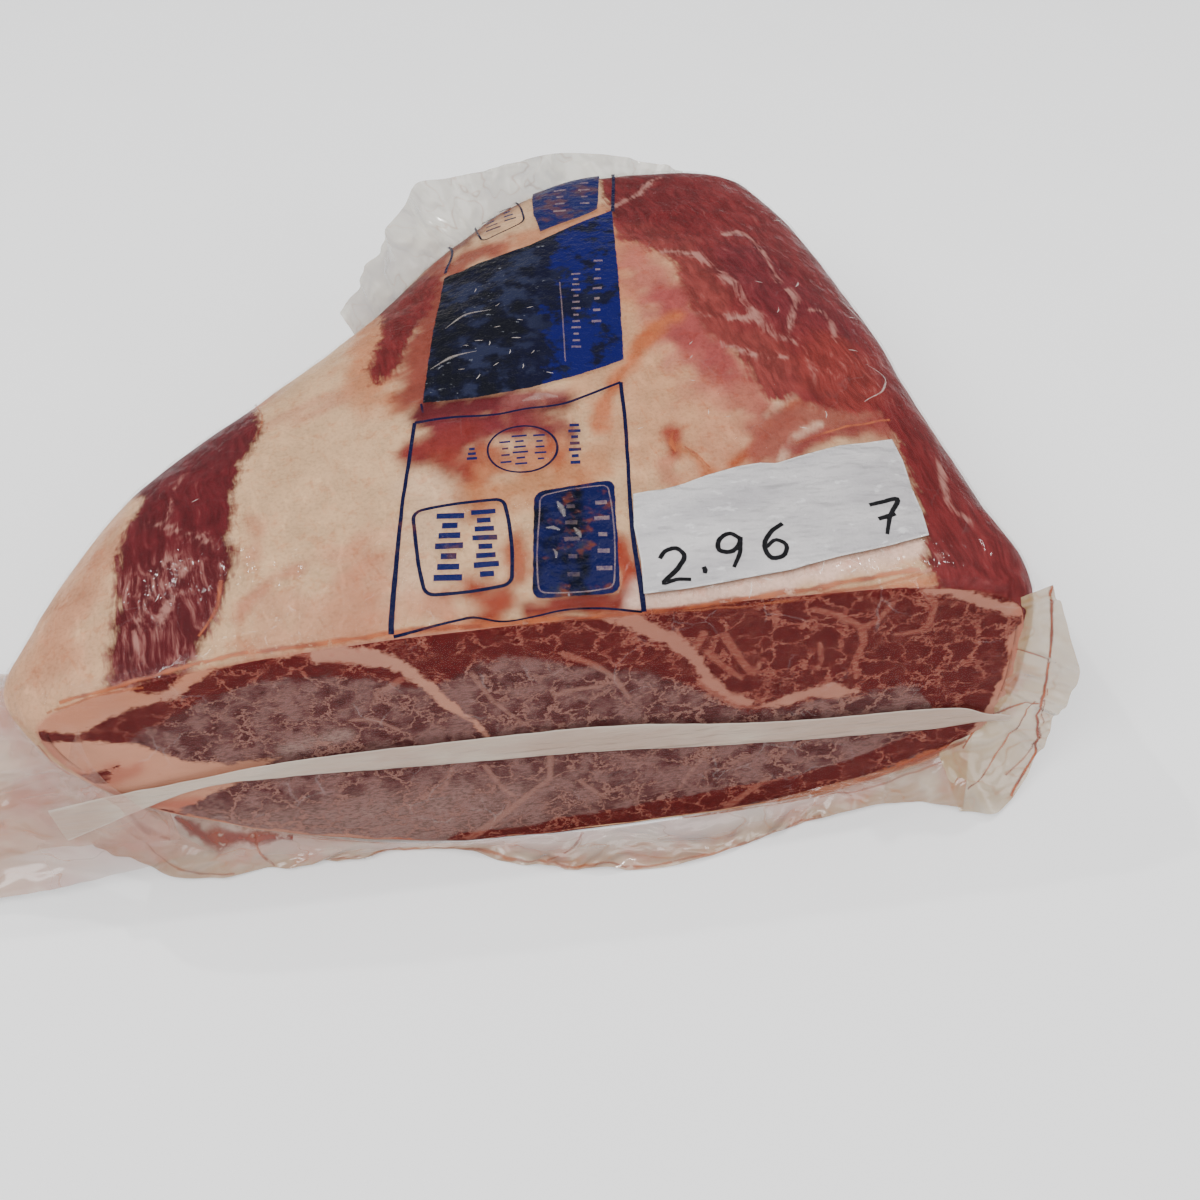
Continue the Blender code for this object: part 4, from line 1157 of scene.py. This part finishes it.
# Printed lines: (x and y of their points, widths, wear)
FRAME_LINES = [
    ([(-2.5, 71.5), (-6.5, 46.5), (-9, 28.5), (-12.5, 1.5)], [1.1, 1.0, 1.5], 0.2),
    ([(-2.5, 71.5), (7.5, 71.5), (21, 70.8), (29.5, 72), (38.5, 72.8), (46, 75.5), (56.5, 79.5)],
     [1.0, 0.7, 1.0], 0.2),
    ([(56.5, 79.5), (55.2, 63), (53.5, 47), (51, 21.5), (50.5, 0.5)], [1.1, 1.0, 1.4], 0.2),
    ([(-12, 1), (-5, 1.7), (3.5, 2.5), (8, 2.8), (14, 1.6), (23.5, 1.6), (30, 2.2), (39, 2),
      (50, 0.5)], [0.8, 0.4, 0.6], 0.9),
    ([(74.5, 214), (71, 192), (67.5, 170.5)], [0.9, 1.2], 0.2),
    ([(12.5, 179), (13.5, 166), (10.5, 149)], [0.8, 1.0], 0.2),
    ([(0, 75), (-0.4, 79)], [0.6, 0.6], 0.6),
    (OVAL, [0.7, 0.55, 0.7], 0.3),
    (LEFT_BOX + LEFT_BOX[:1], [1.0, 1.0], 0.3),
    (BACK_BOX + BACK_BOX[:1], [0.7, 0.7], 1.0)]
LIGHT_LINES = [
    (LOW_PANEL_LINE + LOW_PANEL_LINE[:1], [0.4, 0.4], 0.5),
    ([(45, 129), (43.6, 110), (42, 91)], [0.4, 0.4], 0.4)]
# Rows of short plain bars: (start, end, count, length, width, wear, pattern)
BARS = [
    ((2.5, 13), (5, 36), 7, 7.2, 1.9, 0.3, 0), ((12.5, 13), (13.5, 36), 8, 6.4, 1.7, 0.3, 2),
    ((21, 50.5), (21.5, 60.5), 4, 3.0, 0.7, 0.3, 0), ((25, 49.5), (25.6, 62), 6, 4.2, 0.7, 0.3, 1),
    ((30.5, 50.5), (31, 61.5), 5, 3.2, 0.7, 0.3, 2), ((12, 53.5), (12.4, 59), 3, 2.8, 1.0, 0.3, 0),
    ((39.4, 47.5), (41.2, 64.5), 7, 3.4, 1.2, 0.3, 1), ((28, 170), (27, 186), 4, 5.0, 1.5, 1.0, 0),
    ((34, 174), (33, 190), 4, 4.0, 1.3, 1.0, 0)]
LIGHT_BARS = [
    ((45.8, 95.5), (50.6, 134), 13, 2.8, 0.9, 0.5, 0),
    ((53, 105), (58.6, 141), 7, 2.8, 1.1, 0.5, 0),
    ((42.0, 10), (44.6, 36), 5, 4.0, 1.3, 0.5, 0), ((34, 9), (36.5, 36), 5, 4.0, 1.3, 0.2, 1),
    ((50, 172), (53.5, 200), 5, 4.2, 1.3, 0.5, 0), ((59, 176), (62, 203), 5, 4.0, 1.3, 0.5, 1)]


def print_ink(name, dark, blue, worn, wear, bare):
    """Blue ink on the outside of the film: slightly worn, with the meat's tone behind it and painted glints
    on its worn parts.
    """
    f = Finish(name)
    place, strength, edge = f.where(), f.kept("strength"), f.kept("edge")
    cloud = f.noise(place, 9.0, 3.0, 0.55)
    scuff = f.noise(f.stretched(place, 1.0, 0.45, 1.0), 2.2, 3.0, 0.7)
    scrape = f.noise(place, 7.0, 3.0, 0.6)
    fine = f.noise(f.stretched(place, 0.7, 1.0, 1.0), 1.3, 2.0, 0.6)
    colour = f.mix(f.step(cloud + (scuff - 0.5) * 0.2 - strength * 0.32, 0.06, 0.3), dark, blue)
    lost = f.step(scrape + strength * wear, 0.6, 0.74)
    # Painted glints: small light grey spots on the worn parts, standing in for glints of wet film
    painted_glint = f.step(fine + strength * 0.1, 0.74, 0.82) * f.step(scrape, 0.5, 0.6)
    colour = f.mix(lost * 0.85, colour, f.mix(f.step(cloud, 0.5, 0.62) * strength, worn, srgb(32, 36, 50)))
    colour = f.mix(painted_glint * lost * 0.7, colour, srgb(120, 122, 128))
    holes = f.step(scuff + strength * bare, 0.84, 0.92)
    rim = f.step(edge + (scuff - 0.5) * 0.8, 0.0, 0.25)
    ripple = f.noise(place, 5.0, 3.0, 0.6)
    return f.done(Base_Color=colour, Roughness=0.24 + scuff * 0.2, Specular_IOR_Level=0.08,
                  Alpha=rim * (1 - holes * 0.8), Normal=f.bump(ripple, 0.003, 0.5))


def light_ink():
    """Unprinted lines and bars within the blue, and the worn light ink."""
    f = Finish("light_ink")
    worn = f.noise(f.where(), 1.6, 3.0, 0.7)
    tone = f.mix(f.step(worn, 0.35, 0.65), srgb(150, 128, 122), srgb(112, 92, 104))
    return f.done(Base_Color=tone, Roughness=0.5, Specular_IOR_Level=0.15,
                  Alpha=f.kept("strength") * (1 - f.step(worn, 0.6, 0.72) * 0.6))


def bar_rows(rows):
    """The bars of several rows, each as (points, widths, wear)."""
    bars = []
    for start, end, count, length, width, wear, pattern in rows:
        start, end = np.array(start, dtype=float), np.array(end, dtype=float)
        along = (end - start) / np.linalg.norm(end - start)
        across = np.array((along[1], -along[0]))
        for number in range(count):
            middle = start + (end - start) * (number + 0.5) / count
            reach = across * length / 2 * (1.0 - 0.22 * ((number * 7 + pattern) % 3))
            bars.append(([tuple(middle - reach), tuple(middle + reach)], [width, width], wear))
    return bars


def big_panel_wear(plan):
    """The big panel is worn mostly on its left."""
    return 0.25 + 0.75 * soft(-plan[:, 0] + 0.18 * (plan[:, 1] - 120), -46, -30)


def low_panel_wear(plan):
    """The low panel is rubbed and dark but for its right edge."""
    return 0.15 + 0.85 * soft(-plan[:, 0] + 0.1 * plan[:, 1], -40, -35)


def small_panel_wear(plan):
    """The small panel is worn evenly."""
    return np.full(len(plan), 0.5)


def make_print(surface):
    """The blue print on the film: a frame, solid panels and rows of plain bars."""
    line_ink = print_ink("print_line_ink", srgb(6, 7, 26), srgb(9, 11, 46), srgb(60, 28, 40), 0.1, 0.15)
    panel_ink = print_ink("print_panel_ink", srgb(11, 13, 32), srgb(12, 15, 74), srgb(12, 13, 19), 0.5, 0.0)
    low_ink = print_ink("print_low_ink", srgb(5, 7, 20), srgb(12, 16, 60), srgb(92, 44, 30), 0.05, 0.0)
    worn_ink = print_ink("print_worn_ink", srgb(11, 14, 48), srgb(17, 22, 70), srgb(70, 42, 52), 0.2, 0.1)
    for name, outline, ink, wear in (("print_big_panel", BIG_PANEL, panel_ink, big_panel_wear),
                                     ("print_low_panel", LOW_PANEL, low_ink, low_panel_wear),
                                     ("print_small_panel", SMALL_PANEL, worn_ink, small_panel_wear)):
        made, plan = surface.field(name, outline, PRINT_STEP, PRINT_OVER, ink)
        made.visible_shadow = False
        keep(made, "strength", wear(plan))
    for name, lines, ink, wander in (("print_frame", FRAME_LINES, line_ink, 0.1),
                                     ("print_bars", bar_rows(BARS), worn_ink, 0.08)):
        made = surface.strips(name, placed(surface.on_top, lines), PRINT_OVER, ink, wander=wander)
        keep(made, "edge", np.full(len(made.data.vertices), 1.0))
    light = placed(surface.on_top, LIGHT_LINES + bar_rows(LIGHT_BARS))
    surface.strips("print_light_lines", light, LIGHT_PRINT_OVER, light_ink(), wander=0.08)


# Creases, and wrinkles with painted glints

def purge_line(name, tone):
    """Juice drawn into a fold: strongest along its middle, broken along its length."""
    f = Finish(name)
    place = f.where()
    broken = f.noise(place, 4.0, 3.0, 0.6)
    colour = f.mix(f.step(f.noise(place, 7.0, 2.0), 0.35, 0.65), tone, srgb(120, 54, 40))
    alpha = (1 - f.step(f.kept("across") + (broken - 0.5) * 0.9, 0.2, 1.0)) * f.kept("strength")
    return f.done(Base_Color=colour, Roughness=0.3, Specular_IOR_Level=0.2,
                  Alpha=alpha * f.step(broken, 0.3, 0.42))


def wrinkle_film_painted_glint():
    """Small raised folds of clear film that glint: the gloss is real, and their pale colour is a painted
    glint.
    """
    f = Finish("wrinkle_film_painted_glint")
    place = f.where()
    shape = f.noise(place, 2.2, 3.0, 0.6)
    middle = 1 - f.step(f.kept("across") + (shape - 0.5) * 0.7, 0.25, 0.95)
    # The pale tone is a painted glint on each fold, laid over its real gloss
    tone = f.mix(f.step(shape, 0.4, 0.7), srgb(214, 204, 196), srgb(190, 170, 156))
    return f.done(Base_Color=tone, Roughness=0.16, Specular_IOR_Level=0.9,
                  Alpha=middle * f.kept("strength"), Normal=f.bump(shape, 0.0008, 0.6))


# Juice along the cut face's top edge: (points, widths, strength)
TOP_EDGE_JUICE = ([(-94.9, -0.9, 64.9), (-77, -0.3, 69), (-59.5, 1.2, 72.3), (-27.5, 1.3, 74.5),
                   (-10.3, 1.5, 75.2), (14.4, 0.9, 74.8), (49.5, 0.3, 74.2), (90.7, 1.3, 74.9),
                   (123, 4, 74.4)], [1.6, 2.0, 2.4], 0.8)
# Juice on the cut face, as (x, z), and on the top, as (x, y)
CUT_JUICE = [
    ([(-99, 63.5), (-91.5, 65.5), (-82.5, 68), (-74, 68)], [0.8, 1.0], 0.6),
    ([(-104, 53), (-102.5, 48), (-101, 44), (-99, 42)], [1.4, 1.0], 0.8),
    ([(-53, 11.5), (-38, 7.5), (-18, 1.5)], [1.2, 1.6], 0.7),
    ([(60, -1.5), (90, 1), (120, 9), (142, 18)], [1.8, 2.6], 0.7)]
TOP_JUICE = [
    ([(51, 0.5), (66.5, 0), (83.5, 0), (100, 0.3), (117.5, 1.8), (126, 4)], [0.9, 1.5], 0.6),
    ([(100, 48), (104.5, 49.6), (110.5, 52), (119, 54.5), (129.5, 57)], [0.9, 1.5], 0.7),
    ([(67.4, 57), (66.3, 53), (66.8, 49)], [1.8, 2.6, 1.2], 0.9),
    ([(69.5, 50.5), (72.5, 46.5), (75, 41.5)], [0.8, 1.2, 0.6], 0.7),
    ([(-54, 22.5), (-55, 15.5), (-59.5, 7.5)], [1.6, 1.2], 0.7),
    ([(-49, 100), (-46, 84), (-47.5, 76)], [1.2, 0.8], 0.5)]
# Small folds that glint, drawn as raised strips coloured pale as a painted glint: (x, y, size)
GLINTS = [
    (122, 164, 2), (117, 118, 2.4), (105, 118.5, 1.6), (107.5, 103.5, 1.8), (131, 104.5, 1.6),
    (126.5, 86.5, 1.8), (111, 58.5, 1.8), (103.5, 53.5, 1.4), (79, 92, 1.0), (78, 86, 1.0),
    (76.5, 76, 1.1), (78.5, 62.5, 1.2), (83.5, 60, 1.1), (59, 59.5, 1.1), (78, 2.5, 2.2), (83, 4.5, 1.6),
    (97.5, 6.5, 2.4), (105.5, 5, 1.6), (18, 104.5, 1.6), (21, 102.5, 1.3), (29, 103.5, 1.8),
    (22, 92, 1.3), (16.5, 87.5, 1.5), (37, 86.5, 1.3), (19, 132.5, 1.5), (34.5, 117.5, 1.3),
    (24, 110, 1.2), (26.5, 97, 1.4), (31, 112, 1.1), (33, 96, 1.2), (25, 121, 1.2), (14, 103, 1.1),
    (29.5, 90, 1.2), (12, 92, 1.1), (-62, 52, 1.3), (-70, 20, 1.4)]
# Longer folds on the top, drawn the same way with a painted pale glint
TOP_FOLDS = [
    ([(129, 81), (133.5, 77), (131.5, 70.5), (124, 64)], [0.2, 0.9, 0.3], 0.4),
    ([(129.5, 115.5), (132.5, 110), (135.5, 104.5)], [0.2, 1.0, 0.2], 0.5),
    ([(33, 35.5), (33.8, 33), (34.4, 30)], [0.8, 2.6, 0.9], 0.2),
    ([(29, 27), (30.8, 26.8), (32.5, 25.8)], [0.5, 1.7, 0.5], 0.2),
    ([(36.2, 26), (37, 24.5), (37.6, 22.5)], [0.6, 2.2, 0.6], 0.2),
    ([(30, 20), (30.6, 18.6), (30.4, 17)], [0.5, 1.4, 0.5], 0.18),
    ([(28, 75), (33, 76.5), (38, 76)], [1.0, 4.5, 1.4], 0.12),
    ([(3, 94), (10, 98.5), (17, 99.5)], [0.2, 1.6, 0.2], 0.28),
    ([(8.5, 113.5), (15, 119), (23, 119)], [0.2, 1.6, 0.2], 0.28)]
GLINT_STRENGTH = 0.55


def glint_lines():
    """The small folds as short lines, each turned its own way."""
    lines = []
    for number, (x, y, size) in enumerate(GLINTS):
        turn = 0.5 + 0.9 * math.sin(number * 2.4)
        across, up = 0.8 * size * math.cos(turn), 0.8 * size * math.sin(turn)
        lines.append(([(x - across, y - up), (x + up * 0.2, y), (x + across, y + up)],
                      [0.15, size * 0.34, 0.15], GLINT_STRENGTH))
    return lines


def make_creases(surface):
    """Juice drawn into the folds of the film, and the small folds that glint, coloured pale as painted
    glints.
    """
    juice = [TOP_EDGE_JUICE] + placed(surface.on_cut, CUT_JUICE) + placed(surface.on_top, TOP_JUICE)
    purge = purge_line("purge_line", srgb(158, 84, 50))
    surface.strips("crease_juice", juice, JUICE_OVER, purge, wander=0.5)
    folds = placed(surface.on_top, glint_lines() + TOP_FOLDS)
    surface.strips("film_wrinkles_painted_glint", folds, WRINKLES_OVER, wrinkle_film_painted_glint(), raised=0.3, wander=0.15)


# Scene

# Lights in metres and watts: (name, place, aim, size, power)
LIGHTS = [
    ("key", (-0.75, -0.55, 1.25), (0, 0, 0.03), 0.9, 17),
    ("fill", (0.9, -0.8, 0.9), (0, 0, 0.03), 1.1, 9),
    ("overhead", (0.1, 0.15, 1.6), (0, 0, 0), 1.2, 12),
    ("sparkle_left", (-0.5, 0.5, 0.9), (0, 0, 0.05), 0.03, 3.0),
    ("sparkle_right", (0.6, 0.2, 0.8), (0, 0, 0.05), 0.03, 3.0)]
SKY_COLOUR, SKY_STRENGTH = (0.97, 0.98, 1.0, 1.0), 0.45
FLOOR_HALF = 3.0
# The camera solved on the photo: place in the block's frame, tilt and turn in degrees, lens in millimetres
CAMERA_PLACE, CAMERA_TILT, CAMERA_TURN = (9.622, -211.501, 335.528), 40.0, -8.0
LENS, SENSOR_WIDTH = 40.5, 36.0


def area_light(name, place, aim, size, power):
    """A soft round light aimed at a point."""
    lamp = bpy.data.lights.new(name, "AREA")
    lamp.shape = "DISK"
    lamp.size = size
    lamp.energy = power
    made = bpy.data.objects.new(name, lamp)
    made.location = place
    made.rotation_euler = (Vector(aim) - Vector(place)).to_track_quat("-Z", "Y").to_euler()
    bpy.context.scene.collection.objects.link(made)


def pale_floor():
    """Nearly even pale grey."""
    f = Finish("pale_floor")
    cloud = f.noise(f.where(), 60.0, 2.0)
    tone = f.mix(cloud, (0.91, 0.91, 0.91), (0.94, 0.94, 0.94))
    return f.done(Base_Color=tone, Roughness=0.85, Specular_IOR_Level=0.1)


def make_studio():
    """The floor, the even light from all round, and the soft lights."""
    half = FLOOR_HALF
    mesh = bpy.data.meshes.new("floor")
    mesh.from_pydata([(-half, -half, 0), (half, -half, 0), (half, half, 0), (-half, half, 0)], [],
                     [[0, 1, 2, 3]])
    mesh.materials.append(pale_floor())
    floor = bpy.data.objects.new("floor", mesh)
    bpy.context.scene.collection.objects.link(floor)
    world = bpy.data.worlds.new("studio")
    world.use_nodes = True
    sky = world.node_tree.nodes["Background"]
    sky.inputs["Color"].default_value = SKY_COLOUR
    sky.inputs["Strength"].default_value = SKY_STRENGTH
    bpy.context.scene.world = world
    for light in LIGHTS:
        area_light(*light)


def make_camera():
    """The camera of the photo."""
    lens = bpy.data.cameras.new("camera")
    lens.sensor_width = SENSOR_WIDTH
    lens.lens = LENS
    camera = bpy.data.objects.new("camera", lens)
    camera.location = to_metres(CAMERA_PLACE)
    camera.rotation_euler = (math.radians(CAMERA_TILT), 0.0, math.radians(CAMERA_TURN))
    bpy.context.scene.collection.objects.link(camera)
    bpy.context.scene.camera = camera


def main():
    """Build every piece, then the studio and the camera."""
    make_beef()
    surface = Surface(make_film_skin())
    make_loose_film()
    make_side_seal()
    make_print(surface)
    make_creases(surface)
    make_label(surface)
    make_studio()
    make_camera()


main()
